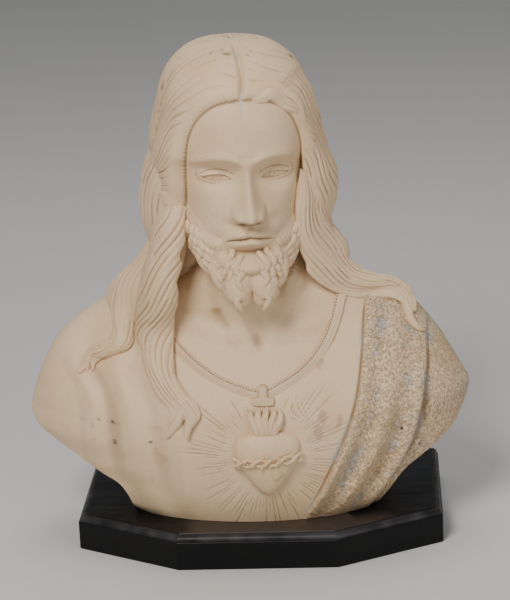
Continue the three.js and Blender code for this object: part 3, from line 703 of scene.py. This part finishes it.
noseHalf = through([-50, 9], [-44, 11], [-36, 11.5], [-25, 9], [-10, 7.2], [4, 6.2], [15, 7.5])
beardEdge = through([0, -84], [12, -84], [24, -76], [32, -66], [45, -58], [55, -46], [64, -30], [72, -10])
eye = {"u": 31, "w": -1.5, "deep": 66.5, "rise": 12.5, "wide": 21, "high": 14.5, "half": 15.5}


def fromHead(u, v, w):
    turned = Matrix.Translation(headFrame["at"]) @ Matrix.Rotation(radians(headFrame["turn"]), 4, "Z")
    whole = np.array(turned @ Matrix.Rotation(radians(headFrame["bow"]), 4, "X")) @ np.diag([headFrame["scale"]] * 3 + [1])
    points = np.stack(np.broadcast_arrays(u, -np.asarray(v, float), w), axis=-1)
    return points @ whole[:3, :3].T + whole[:3, 3]


def beside(side, path):
    return fromHead(*(np.array(path, float) * (side, 1, 1)).T)


# How far the features stand forward of the plain head at (u, w): sums of bells, a ball and lids for each eye
def features(u, w, base):
    side = np.abs(u)
    brow = 13 + 9 * np.sin(pi * np.minimum(side, 58) / 58) ** 0.8
    v = base + 3.2 * bell(w, brow, 5.5) * ease(4, 14, side) * ease(64, 48, side)
    v = v - 11 * bell(side, eye["u"], 19) * bell(w, -1, 13) * ease(brow + 2, brow - 5, w)
    v = v + 4 * bell(side, 50, 17) * bell(w, -20, 14) - 3.5 * bell(side, 50, 15) * bell(w, -60, 17)
    v = v + 4 * bell(side, 0, 26) * bell(w, -64, 17)
    across, up = side - eye["u"], w - eye["w"]
    round_ = 1 - (across / eye["wide"]) ** 2 - (up / eye["high"]) ** 2
    lid = eye["deep"] + eye["rise"] * np.sqrt(np.maximum(round_, 0))
    soft = 3.0
    blend = np.clip(0.5 + 0.5 * (lid - v) / soft, 0, 1)
    v = np.where(round_ > 0, v + (lid - v) * blend + soft * blend * (1 - blend), v)
    arch = np.maximum(1 - (across / eye["half"]) ** 2, 0)
    upper = -2.6 + 3.9 * arch ** 0.8 + 0.05 * across
    lower = -2.9 - 3.3 * arch ** 0.9 + 0.05 * across
    opened = ease(0.5, -0.3, up - upper) * ease(-0.5, 0.3, up - lower) * ease(0.02, 0.12, arch)
    gaze = np.hypot(across + 0.5, up + 2.6)
    v = v - opened * (1.9 + 0.55 * bell(gaze, 5.0, 0.7) + 0.9 * bell(gaze, 0, 1.5))
    v = v + 0.9 * bell(up, upper + 1.0, 1.2) * ease(0, 0.2, arch) + 0.6 * bell(up, lower - 0.9, 1.0) * ease(0, 0.2, arch)
    crease = -0.4 + 7.2 * np.maximum(1 - (across / 19) ** 2, 0) ** 0.7
    v = v - 1.5 * bell(up, crease, 1.1) * ease(1, 0.8, np.abs(across) / 19)
    half = noseHalf(w)
    v = v + noseHeight(w) * (0.62 * np.exp(-((side / half) ** 2.2)) + 0.38 * bell(side, 0, 2.0 * half))
    v = v + 2.0 * bell(side, 0, 7) * bell(w, -40, 6) + 8.5 * bell(side, 13.5, 5.2) * bell(w, -42, 6.2)
    v = v - 2.5 * bell(side, 18.5, 3) * bell(w, -40, 7) - 3.5 * bell(side, 7.5, 3) * bell(w, -50.5, 2.2)
    parted = w + 68.5 - 1.2 * bell(side, 0, 6) + 0.004 * side ** 2
    v = v + 2.6 * bell(parted, 4.5, 3.2) * ease(25, 10, side) + 3.6 * bell(parted, -4.8, 3.8) * ease(19, 6, side)
    v = v - 2.4 * bell(parted, 0, 1.2) * ease(27, 20, side) - 2.8 * bell(side, 0, 18) * bell(w, -85, 5)
    v = v - 1.2 * bell(side, 0, 2.6) * bell(w, -57, 5)
    whisker = w + 60.5 + 0.012 * side ** 2
    hairs = strokes(whisker / 2.6 + side / 12, side, 44, 12, 0.24)
    v = v + (3.6 + 0.8 * hairs) * bell(whisker, 0, 4.6) * ease(1, 6, side) * ease(37, 24, side)
    return v + 5 * bell(side, 0, 19) * bell(w, -102, 11)


# How far the hair stands off the skull: nothing inside the face's opening, which is an oval open below
def hairThickness(u, v, w, part):
    side = np.abs(u)
    oval = ((side / 62) ** 2.6 + (np.maximum(w, 0) / 80) ** 2.6) ** (1 / 2.6)
    rise = np.where(v > 0, np.clip((oval - 1) * 62 / 9, 0, 1), 1)
    full = 8 + 11 * ease(60, -10, w)
    parted = 1 - 0.62 * bell(part, 0, 2.6) * ease(-60, -30, v) - 0.12 * bell(part, 0, 8) * ease(-60, -30, v)
    return full * np.sqrt(1 - (1 - rise) ** 2) * parted * ease(-95, -55, w), rise


# Strokes of the hair that is combed from the parting to the sides, and behind the crown straight down. The strands in
# front lie in planes through a line from ear to ear, so the angle round that line counts them.
def combed(u, v, w, part, rise):
    drift = noise(u / 42, v / 42, w / 42, 31)
    round_ = np.arctan2(w + 34, v + 4)
    sidewise = strokes(round_ * 15 + 1.5 * drift + 0.35 * np.sin(u / 13), np.abs(u), 32, 26, 0.22)
    downwards = strokes(np.arctan2(u, -(v + 8)) * 8.5 + 1.3 * drift + 0.4 * np.sin(w / 14), w, 33, 30, 0.3)
    behind = ease(-14, -44, v)
    mixed = sidewise * (1 - behind) + downwards * behind
    gentle = 0.55 + 0.45 * ease(100, 30, w)
    swells = 0.8 * noise(u / 30, v / 18, w / 26, 34)
    return (1.7 * mixed * gentle + swells) * ease(0.25, 0.9, rise) * (1 - 0.8 * bell(part, 0, 5) * (1 - behind))


head = {"front": 264, "back": 140, "rows": ((-115, -22, 88), (-22, 24, 74), (24, 86, 50), (86, 111.5, 26))}


def headShell():
    levels = [start + (stop - start) * np.arange(count) / count for start, stop, count in head["rows"]]
    w = np.concatenate(levels + [[111.8]])[:, None]
    n = 2.25
    q = np.linspace(1, -1, head["front"] + 1)
    ahead = np.arccos(power(0.5 * np.sin(pi / 2 * q) + 0.5 * q, n / 2))
    behind = pi + pi * np.arange(1, head["back"]) / head["back"]
    behind = behind - 0.1 * np.sin(2 * behind)
    turn = np.concatenate([ahead, behind])[None, :]
    inFront = turn <= pi
    middle = widestAt(w)
    depth = np.where(inFront, faceFront(w) - middle, middle - skullBack(w))
    u = skullHalf(w) * power(np.cos(turn), 2 / n)
    v = middle + depth * power(np.sin(turn), 2 / n)
    out = np.stack(np.broadcast_arrays(u / 78 ** 2, (v - middle) / 95 ** 2, np.maximum(w, 0) / crown ** 2), axis=-1)
    out = out / np.linalg.norm(out, axis=-1, keepdims=True)
    w = np.broadcast_to(w, u.shape)
    part = u + 3.5 - 4.5 * np.sin((w - 78) / 16) * ease(74, 84, w)
    thick, rise = hairThickness(u, v, w, part)
    side = np.abs(u)
    bearded = ease(0, 16, beardEdge(side) - w) * inFront
    bristle = strokes(side / 4.2 + 0.5 * np.sin(w / 7 + side / 9) + noise(u / 9, 0 * u, w / 12, 41), w, 42, 11)
    browStroke = strokes((side * 0.5 + w) / 3.4, side, 43, 30)
    browAt = 13 + 9 * np.sin(pi * np.minimum(side, 58) / 58) ** 0.8
    onBrow = bell(w, browAt + 1.5, 4) * ease(8, 14, side) * ease(58, 48, side) * inFront
    moved = thick + combed(u, v, w, part, rise) * (thick > 0.5)
    moved = moved + 9 * bearded * (0.45 + 0.55 * ease(60, 15, side)) + 1.2 * bristle * bearded + 0.45 * browStroke * onBrow
    point = np.stack([u, np.where(inFront, features(u, w, v), v), w], axis=-1) + out * moved[..., None]
    grid = fromHead(point[..., 0], point[..., 1], point[..., 2])
    inPart = bell(part, 0, 1.6) * ease(-60, -30, v) * (w > 60)
    return shell(grid, fromHead(0, 50, -116), fromHead(0, -10, crown + 8), residue=0.9 * inPart)


# Locks of hair: half their width and half their thickness in mm, along the middle of each
def lying(*places, lift=5):
    return [tuple(p) for p in onChest(*np.array(places, float).T, lift)]


leftTresses = [
    {"guides": [
        [(-21, -62, 406), (-35, -58, 390), (-45, -53, 371), (-51, -52, 353), (-54, -52, 332), (-53, -50, 310),
         (-53, -48, 287), (-61, -44, 267)],
        [(-36, -48, 418), (-52, -42, 396), (-62, -40, 373), (-67, -42, 351), (-72, -44, 329), (-74, -40, 306),
         (-74, -36, 284), (-77, -30, 267)],
        [(-53, -16, 420), (-67, -12, 400), (-73, -12, 378), (-80, -12, 352), (-88, -12, 330), (-93, -10, 305),
         (-92, -12, 285), (-85, -16, 266)]],
     "strands": 8, "wind": -6, "puff": 2.5, "deep": 1.5, "seed": 11},
    {"guides": [
        [(-49, -50, 323), (-50, -53, 300), (-52, -57, 279), (-57, -60, 254), (-60, -58, 231), (-66, -48, 202),
         (-67, -54, 182), (-65, -64, 166), (-56, -73, 152), (-47, -80, 143), (-44, -84, 134), (-51, -86, 123),
         (-55, -87, 115)],
        [(-63, -50, 315), (-67, -53, 292), (-70, -58, 271), (-75, -62, 248), (-79, -60, 223), (-84, -50, 197),
         (-82, -55, 179), (-77, -66, 164), (-68, -76, 150), (-58, -80, 140), (-51, -84, 132), (-54, -86, 123),
         (-56, -88, 115)],
        [(-77, -30, 302), (-82, -28, 277), (-86, -34, 259), (-92, -38, 240), (-97, -38, 218), (-99, -38, 193),
         (-95, -46, 179), (-90, -58, 163), (-81, -70, 148), (-70, -79, 139), (-58, -83, 131), (-57, -85, 123),
         (-57, -87, 115)]],
     "strands": 6, "wind": through([0, 0], [0.1, -1], [0.6, -11], [0.75, -12], [1, -12.5]), "puff": 5,
     "deep": 1.7, "steps": 230, "seed": 12, "weave": 0.25},
    {"guides": [
        [(-79, -20, 255), (-87, -26, 239), (-95, -30, 223), (-98, -31, 207), (-101, -33, 193), (-104, -40, 182),
         (-112, -43, 177), (-124, -42, 174), (-134, -38, 170), (-142, -38, 164), (-148, -41, 159)],
        [(-82, -12, 263), (-94, -14, 245), (-108, -16, 228), (-112, -20, 213), (-113, -27, 200), (-113, -36, 189),
         (-118, -39, 181), (-129, -38, 177), (-139, -35, 173), (-146, -37, 165), (-149, -41, 159)],
        [(-87, 0, 267), (-103, 0, 245), (-120, 0, 230), (-127, -2, 217), (-123, -10, 204), (-121, -25, 194),
         (-125, -31, 186), (-136, -30, 182), (-144, -31, 176), (-149, -35, 167), (-151, -40, 160)]],
     "strands": 7, "wind": 1.5, "puff": 4, "deep": 1.3, "seed": 13, "steps": 190},
]
leftLocks = [
    {"path": [(-46, -12, 392), (-55, -10, 374), (-63, -10, 344), (-74, -8, 308), (-78, -8, 283), (-68, -18, 262)],
     "width": 20, "depth": 14, "strands": 15, "wind": 4.5, "deep": 1.3},
    {"path": [(-58, -30, 322), (-64, -34, 288), (-72, -34, 252), (-84, -24, 215)], "width": 17, "depth": 14},
    {"path": [(-68, -76, 147), (-61, -80, 137), (-63, -82, 129), (-70, -81, 119), (-74, -80, 112)],
     "width": 4.5, "depth": 4, "strands": 4, "lobes": 0, "steps": 70, "sides": 30, "seed": 14},
    {"path": [(-78, -70, 150), (-70, -77, 142), (-67, -80, 134), (-71, -80, 125)],
     "width": 3.6, "depth": 3, "strands": 3, "lobes": 0, "steps": 60, "sides": 26, "seed": 15},
    {"path": [(-107, -37, 183), (-119, -40, 177), (-130, -38, 174), (-137, -38, 168), (-138, -41, 160)],
     "width": 4, "depth": 3.6, "strands": 4, "lobes": 0, "steps": 60, "sides": 30, "seed": 16},
    {"path": [(-114, -37, 182), (-128, -37, 178), (-137, -35, 174), (-142, -36, 168), (-143, -40, 159)],
     "width": 3.4, "depth": 4.4, "strands": 4, "lobes": 0, "steps": 60, "sides": 30, "seed": 17},
]
rightTresses = [
    {"guides": [
        [(34, -62, 406), (41, -58, 388), (47, -54, 369), (49, -52, 348), (50, -48, 327), (53, -42, 304),
         (59, -34, 287)],
        [(42, -44, 415), (51, -40, 392), (56, -38, 371), (60, -38, 349), (64, -38, 329), (65, -34, 307),
         (63, -28, 287)],
        [(46, -16, 416), (57, -14, 393), (63, -14, 369), (68, -14, 345), (76, -14, 326), (76, -14, 307),
         (69, -16, 285)]],
     "strands": 7, "wind": -6, "puff": 2.5, "deep": 1.5, "seed": 21},
    {"guides": [
        [(46, -52, 336), (43, -52, 316), (41, -50, 295), (41, -48, 274), (46, -44, 253), (57, -38, 236),
         (73, -30, 222), (93, -24, 215), (114, -19, 213), (126, -17, 208), (134, -16, 200)],
        [(54, -46, 328), (53, -42, 306), (55, -38, 284), (61, -32, 263), (69, -27, 246), (80, -22, 233),
         (95, -16, 224), (112, -8, 219), (126, -6, 215), (134, -8, 207), (137, -14, 199)],
        [(63, -32, 317), (65, -26, 295), (71, -20, 275), (80, -14, 259), (86, -10, 244), (94, -8, 235),
         (107, -6, 231), (123, -4, 226), (133, -5, 217), (139, -4, 207), (139, -12, 198)]],
     "strands": 9, "wind": -2.5, "puff": 4.5, "deep": 1.4, "seed": 22, "steps": 210},
]
rightLocks = [
    {"path": [(30, -20, 394), (41, -18, 373), (49, -14, 346), (59, -10, 316), (60, -10, 293), (50, -18, 272)],
     "width": 20, "depth": 13, "strands": 15, "wind": -4.5, "deep": 1.3, "seed": 6},
    {"path": [(46, -14, 304), (53, -14, 284), (65, -14, 264), (74, -12, 249), (77, -10, 232)],
     "width": 16, "depth": 12, "strands": 11, "wind": -4, "seed": 7},
    {"path": [(126, -9, 210), (132, -14, 200), (134, -18, 193), (139, -21, 187), (145, -21, 183)],
     "width": 4.5, "depth": 4, "strands": 4, "lobes": 0, "steps": 60, "sides": 30, "seed": 23},
]
fringeLocks = [
    {"path": [(0, -68, 400), (-8, -69, 398), (-18, -67, 401), (-28, -63, 395), (-37, -58, 386), (-46, -51, 372)],
     "width": 5.5, "depth": 5, "strands": 4, "lobes": 0, "sway": 0.8, "steps": 90, "sides": 40, "seed": 24},
    {"path": [(7, -68, 401), (14, -69, 399), (24, -66, 401), (33, -61, 394), (42, -57, 388), (49, -50, 375)],
     "width": 5.5, "depth": 5, "strands": 4, "lobes": 0, "sway": 0.8, "steps": 90, "sides": 40, "seed": 25},
    {"path": [(-20, -64, 409), (-30, -61, 402), (-38, -57, 392), (-45, -53, 379), (-49, -50, 362)],
     "width": 6, "depth": 5, "strands": 4, "lobes": 0, "sway": -0.8, "steps": 80, "sides": 40, "seed": 26},
    {"path": [(24, -64, 409), (33, -60, 403), (41, -56, 394), (48, -51, 381), (51, -48, 364)],
     "width": 6, "depth": 5, "strands": 4, "lobes": 0, "sway": -0.8, "steps": 80, "sides": 40, "seed": 27},
]

# The hair behind, down to the shoulder blades: rounded level sections about a leaning middle line
maneLeft = through(
    [178, -34], [190, -52], [205, -70], [225, -84], [246, -88], [288, -88], [318, -86], [350, -77], [385, -62]
)
maneRight = through(
    [178, 28], [190, 46], [205, 60], [225, 70], [246, 74], [262, 68], [290, 62], [320, 66], [350, 62], [385, 48]
)
maneFront = through([178, 40], [190, 20], [205, -16], [225, -28], [246, -24], [300, -20], [350, -12], [385, -10])
maneBack = through(
    [178, 70], [190, 74], [205, 73], [225, 68], [250, 68], [285, 77], [320, 84], [350, 84], [385, 70]
)


def maneShell():
    z = np.linspace(178, 385, 190)[:, None]
    turn = (2 * pi * np.arange(230) / 230)[None, :]
    half = (maneRight(z) - maneLeft(z)) / 2
    depth = (maneBack(z) - maneFront(z)) / 2
    swing = 0.9 * np.sin(z / 17)
    lobe = 1 + 0.045 * np.cos(6 * turn + swing) * ease(385, 330, z)
    drift = noise(np.cos(turn) * 2, np.sin(turn) * 2, z / 38, 51)
    stroke = strokes((6 * turn + swing) * 4.5 / (2 * pi) * 1.0 + 1.2 * drift, z, 52, 24)
    x = half * lobe * power(np.cos(turn), 2 / 2.4)
    y = depth * lobe * power(np.sin(turn), 2 / 2.4)
    size = np.hypot(x, y)
    push = 1 + 1.3 * stroke * ease(178, 195, z) / np.maximum(size, 1)
    tip = -7 * (1 + np.cos(6 * turn + 1)) * ease(232, 178, z)
    grid = np.stack(np.broadcast_arrays(
        x * push + (maneLeft(z) + maneRight(z)) / 2, y * push + (maneFront(z) + maneBack(z)) / 2, z + tip
    ), axis=-1)
    return shell(grid, (-4, 56, 174), (-8, 28, 392))


# Beard: the forked mass below the chin, then rows of tufts that overlap like shingles from the cheek to the chin
beardCurls = [
    {"path": [(7, 80, -92), (11, 92, -112), (14, 97, -128), (12, 98, -138), (15, 102, -144)], "width": 16, "depth": 14},
    {"path": [(28, 74, -86), (29, 82, -104), (26, 86, -118), (18, 92, -130)], "width": 14, "depth": 11},
    {"path": [(43, 58, -72), (45, 64, -90), (39, 72, -104), (29, 80, -114)], "width": 12, "depth": 9},
    {"path": [(55, 38, -56), (57, 44, -74), (51, 54, -90), (41, 62, -100)], "width": 10, "depth": 8},
]
beard = {"rows": 4, "tufts": 12, "long": 0.42, "wide": 4.2, "high": 3.6, "curl": 3.4}
# Where the beard begins and ends beside the middle, from the ear (0) to the chin (1): u, v and w of each
beardTop = [through([0, a], [0.3, b], [0.6, c], [1, d]) for a, b, c, d in ((66, 61, 46, 9), (26, 44, 70, 99), (-24, -48, -66, -86))]
beardTip = [through([0, a], [0.3, b], [0.6, c], [1, d]) for a, b, c, d in ((64, 55, 38, 13), (34, 54, 80, 105), (-58, -90, -114, -150))]


def faceForwards(centre):
    way = fromHead(0, 1, 0) - fromHead(0, 0, 0)
    return np.broadcast_to(way / np.linalg.norm(way), centre.shape)


def beardShells():
    shells = []
    size = headFrame["scale"]
    for side in (-1, 1):
        for i, curl in enumerate(beardCurls):
            shells.append(lock(beside(side, curl["path"]), curl["width"] * size, curl["depth"] * size,
                               facing=faceForwards, strands=0, lobes=2, lobeDeep=0.6, steps=40, sides=32,
                               seed=60 + 5 * i + side))
        for row in range(beard["rows"]):
            for i in range(beard["tufts"]):
                q = (i + 0.5 * (row % 2) + 0.25 * noise(i * 1.7, row * 2.3, side * 1.1, 61)) / (beard["tufts"] - 0.5)
                start = row / beard["rows"] * 0.8 + 0.04 * noise(i * 2.9, row * 1.3, side * 2.1, 62)
                f = start + beard["long"] * np.linspace(0, 1, 5)
                top = np.array([curve(q) for curve in beardTop])
                tip = np.array([curve(q) for curve in beardTip])
                way = (tip - top) / np.linalg.norm(tip - top)
                sideways = np.cross(way, (0, 1, 0))
                bow = np.sin(pi * np.clip(f, 0, 1)) * 7 * (1 - 0.5 * q)
                path = top + (tip - top) * f[:, None] + sideways * (beard["curl"] * np.sin(2 * pi * np.linspace(0, 1, 5) + i))[:, None]
                path = path + np.outer(bow + np.array([-3, 0.5, 1.5, 1.5, 0.5]), (0.25, 0.95, 0))
                shells.append(lock(beside(side, path), beard["wide"] * size, beard["high"] * size, facing=faceForwards,
                                   lobes=0, strands=3, deep=0.8, steps=24, sides=16, seed=70 + 13 * row + i))
    return shells


# Heart: rings that shrink from its outline up to the middle of its face. `up` is the height over its point.
heart = {"x": 11, "z": 61, "height": 58, "width": 55, "depth": 10, "rings": 30, "rungs": 70}
heartHalf = through(
    [0, 0.07], [3, 0.24], [8, 0.4], [16, 0.6], [25, 0.78], [34, 0.95], [42, 1], [49, 0.98], [55, 0.8], [58, 0.44]
)


def heartShell():
    up = heart["height"] * np.sin(pi / 2 * np.linspace(0, 1, heart["rungs"])) ** 1.1
    half = heart["width"] / 2 * heartHalf(up)
    loopX = np.concatenate([half, -half[::-1]])
    dip = 2.4 * bell(loopX, 0, 7)
    loopUp = np.concatenate([up, up[::-1]])
    loopUp = loopUp - dip * ease(50, 58, loopUp)
    centre = heart["height"] * 0.58
    inwards = np.linspace(0, 1, heart["rings"])[:, None] * 0.97
    shrink = np.cos(pi / 2 * inwards) ** 0.8
    rise = np.sin(pi / 2 * inwards) ** 0.85
    x = heart["x"] + loopX[None, :] * shrink
    z = heart["z"] + centre + (loopUp[None, :] - centre) * shrink
    groove = spots(x, z, [(19, 84, 3.4, 6.0, 1)])
    wound = np.exp(-(((z - 99.5 - 0.35 * (x - 24)) / 0.8) ** 2)) * ease(16, 19, x) * ease(34, 30, x)
    lift = heart["depth"] * rise - 0.7 * wound + 0.9 * groove
    inside = onChest(x[0], z[0], -6.0)[None]
    grid = np.concatenate([inside, onChest(x, z, lift)])
    middle = heart["z"] + centre
    return shell(grid, onChest(heart["x"], middle, -6.0), onChest(heart["x"], middle, heart["depth"] + 0.05))


def stemShells():
    s = np.linspace(-1, 1, 61)
    shells = []
    for phase in (0, pi):
        wave = 2.6 * pi * s + phase
        lift = heart["depth"] * np.sqrt(1 - 0.9 * s * s) + 1 + 1.2 * np.cos(wave)
        path = onChest(heart["x"] + 29 * s, heart["z"] + 35 + 1.5 * s + 3 * np.sin(wave), lift)
        shells.append(lock(path, 1.7, 1.7, swell=through([0, 0.8], [0.5, 1], [1, 0.8]), facing=forwards,
                           lobes=0, strands=3, deep=0.35, wind=9, steps=150, sides=14, seed=90))
        for i in range(5, 58, 7):
            lean = 1 if (i + int(phase)) % 2 else -1
            tip = path[i] + (1.6 * lean, -1.4, 3.6 * lean)
            shells.append(lock([path[i], (path[i] + tip) / 2 + (0, -0.4, 0), tip], 0.9, 0.9, facing=forwards,
                               lobes=0, strands=0, steps=8, sides=8))
    return shells


def flameShells():
    shells = []
    for i in (-2, -1, 0, 1, 2):
        path = onChest(
            [heart["x"] + 2.5 * i, heart["x"] + 5 * i, heart["x"] + 5.8 * i, heart["x"] + 6.3 * i],
            [heart["z"] + 55, heart["z"] + 63, heart["z"] + 71, heart["z"] + 79 - abs(i)],
            [3, 4, 3.5, 2],
        )
        shells.append(lock(path, 3.4, 3.4, facing=forwards, lobes=0, strands=5, deep=0.7, wind=0.5 * i,
                           sway=0.9, waves=1.2, steps=60, sides=30, seed=95 + i))
    return shells


# A rounded bar standing off the chest: level rings of a square section whose corners and ends are rounded
def barShell(width, height, x, z, thick=9, face=4, corner=1.0):
    turn = (2 * pi * np.arange(48) / 48)[None, :]
    up = np.sin(pi / 2 * np.linspace(-1, 1, 40))[:, None]
    square = power(np.cos(turn), 0.22), power(np.sin(turn), 0.22)
    pinch = 1 - corner / width * ease(0.9, 1, np.abs(up)) * 2
    seatY = onChest(x, z, face)[1] + thick / 2
    wear = 0.15 * noise(np.cos(turn) * 3, np.sin(turn) * 3, up * height / 4, 97)
    grid = np.stack(np.broadcast_arrays(
        x + (width / 2 + wear) * square[0] * pinch, seatY + (thick / 2 + wear) * square[1], z + height / 2 * up
    ), axis=-1)
    return shell(grid, (x, seatY, z - height / 2 - 0.05), (x, seatY, z + height / 2 + 0.05))


# The band round the neck opening: a low flat strip with two rows of stitches, each stitch a short raised dash
band = {"half": 4.2, "rise": 2.2, "stitch": 2.6, "rows": (-3.0, 0.9)}


def bandShell():
    chest = [(-74, 196), (-65, 183), (-53, 173), (-32, 160), (-10, 152), (8, 148), (27, 155), (45, 165), (61, 181),
             (70, 199), (75, 216), (78, 226)]
    centre, along, length = alongPath(onChest(*np.array(chest, float).T), 480)
    across = np.cross(along, forwards(centre))
    across /= np.linalg.norm(across, axis=1, keepdims=True)
    out = np.cross(across, along)
    out *= np.sign(-out[:, 1:2])
    s = np.linspace(0, length, len(centre))[:, None]
    turn = (2 * pi * np.arange(44) / 44)[None, :]
    side = band["half"] * power(np.cos(turn), 0.45)
    top = power(np.sin(turn), 0.3)
    dash = ease(0.15, 0.3, (s / band["stitch"]) % 1) * ease(1.0, 0.85, (s / band["stitch"]) % 1)
    stitches = 0
    for row in band["rows"]:
        stitches = stitches - 0.9 * dash * bell(side, row, 0.62)
    height = band["rise"] * top + stitches * (top > 0.6)
    grid = centre[:, None] + across[:, None] * side[..., None] + out[:, None] * height[..., None]
    pink = ease(1.5, 4, side) * (s > 18) * (s < 150) * ease(-0.2, 0.3, noise(s / 14, 0 * s, 0 * s, 98))
    # painted shade along the stitch dashes
    stitchShade = np.clip(-1.3 * stitches, 0, 1) * (top > 0.6)
    return shell(grid, centre[0], centre[-1], blush=0.35 * pink * (top > 0), soot=0.6 * stitchShade)


# Plinth: its plan, with slightly eased corners, shrunk evenly inwards for each step of the moulded edge
plinth = {"front": 136, "cant": 50, "face": 25, "inset": 7, "cornerEase": 1.2}


def plinthShell():
    low, high = (np.array(c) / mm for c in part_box("plinth"))
    width, top = high[0] - low[0], high[2]
    depth = 2 * high[1]
    corners = np.array([
        (-width / 2, depth / 2), (-width / 2, plinth["cant"] - depth / 2), (-plinth["front"] / 2, -depth / 2),
        (plinth["front"] / 2, -depth / 2), (width / 2, plinth["cant"] - depth / 2), (width / 2, depth / 2),
    ])
    before, after = np.roll(corners, 1, axis=0), np.roll(corners, -1, axis=0)
    a = (corners - before) / np.linalg.norm(corners - before, axis=1, keepdims=True)
    b = (after - corners) / np.linalg.norm(after - corners, axis=1, keepdims=True)
    inwards = np.stack([-a[:, 1] - b[:, 1], a[:, 0] + b[:, 0]], axis=1) / (1 + np.sum(a * b, axis=1))[:, None]
    bead = top - plinth["face"] - 1
    arc = pi / 2 * np.linspace(0, 1, 15)[1:]
    inset = np.concatenate([[1.2, 0.3, 0], [0] * 12, [0, 0.3, 1], 1 + bead * (1 - np.cos(arc)),
                            [plinth["inset"] - 0.3, plinth["inset"], plinth["inset"] + 0.4, 12, 30, 60]])
    z = np.concatenate([[0, 0.3, 1.2], np.linspace(2, plinth["face"] - 1, 12), [plinth["face"] - 0.4, plinth["face"], plinth["face"] + 0.4],
                        plinth["face"] + 0.4 + bead * np.sin(arc), [top - 0.8, top - 0.5, top, top, top, top]])
    plan = corners[None] + inwards[None] * inset[:, None, None]
    pieces = []
    steps = np.concatenate([[0, 0.004, 0.012], np.linspace(0.03, 0.97, 34), [0.988, 0.996]])
    for i in range(len(corners)):
        start, stop = plan[:, i], plan[:, (i + 1) % len(corners)]
        pieces.append(start[:, None] + (stop - start)[:, None] * steps[None, :, None])
    flat = np.concatenate(pieces, axis=1)
    # rounds each upright corner by drawing the points near it towards their neighbours' mean
    for _ in range(2):
        flat = (2 * flat + np.roll(flat, 1, axis=1) + np.roll(flat, -1, axis=1)) / 4
    level = np.broadcast_to(z[:, None], flat.shape[:2])
    wave = 0.12 * noise(flat[..., 0] / 30, flat[..., 1] / 30, level / 10, 101)
    grid = np.concatenate([flat, level[..., None]], axis=-1)
    onFace = (level > 3) & (level < plinth["face"] - 2)
    grid[..., :2] *= (1 - np.abs(wave) * onFace / 150)[..., None]
    x, y = flat[..., 0], flat[..., 1]
    onBead = ease(plinth["face"] - 0.5, plinth["face"] + 2, level) * (level < top - 0.6)
    onTop = level > top - 0.1
    # painted sheen, brownish, on the front of the top before the bust
    brown = onTop * ease(-70, -50, x) * ease(130, 90, x) * (y < -60) * 0.8
    dusty = onTop * (0.35 + 0.65 * ease(0, -60, x) * (y < -20)) + 0.25 * onBead
    worn = onBead * (0.55 + 0.45 * noise(x / 9, y / 9, level / 9, 102))
    return shell(grid, (0, 0, 0), (0, 0, top), worn=np.clip(worn, 0, 1), brown=brown, dust=dusty)


placeCamera()
placeStudio()
print("camera, floor and lights placed")
bisque = bisqueMaterial()
paint = paintMaterial()
print("materials made")

makePiece("torso", [torsoShell()], bisque, "bust", sharp=42)
makePiece("head", [headShell()], bisque, "bust")
leftHair = [tress(**shape) for shape in leftTresses] + [lock(**shape) for shape in leftLocks]
makePiece("hairLeft", leftHair, bisque, "bust")
rightHair = [tress(**shape) for shape in rightTresses] + [lock(**shape) for shape in rightLocks + fringeLocks]
makePiece("hairRight", rightHair, bisque, "bust")
makePiece("hairBehind", [maneShell()], bisque, "bust")
makePiece("beard", beardShells(), bisque, "bust")
relief = [heartShell(), *stemShells(), *flameShells(), barShell(6.6, 20, 9, 146), barShell(18, 6, 9, 143.5)]
makePiece("heart", relief, bisque, "bust")
makePiece("neckBand", [bandShell()], bisque, "bust")
makePiece("plinthBoard", [plinthShell()], paint, "plinth", names=("worn", "brown", "dust"), sharp=35)
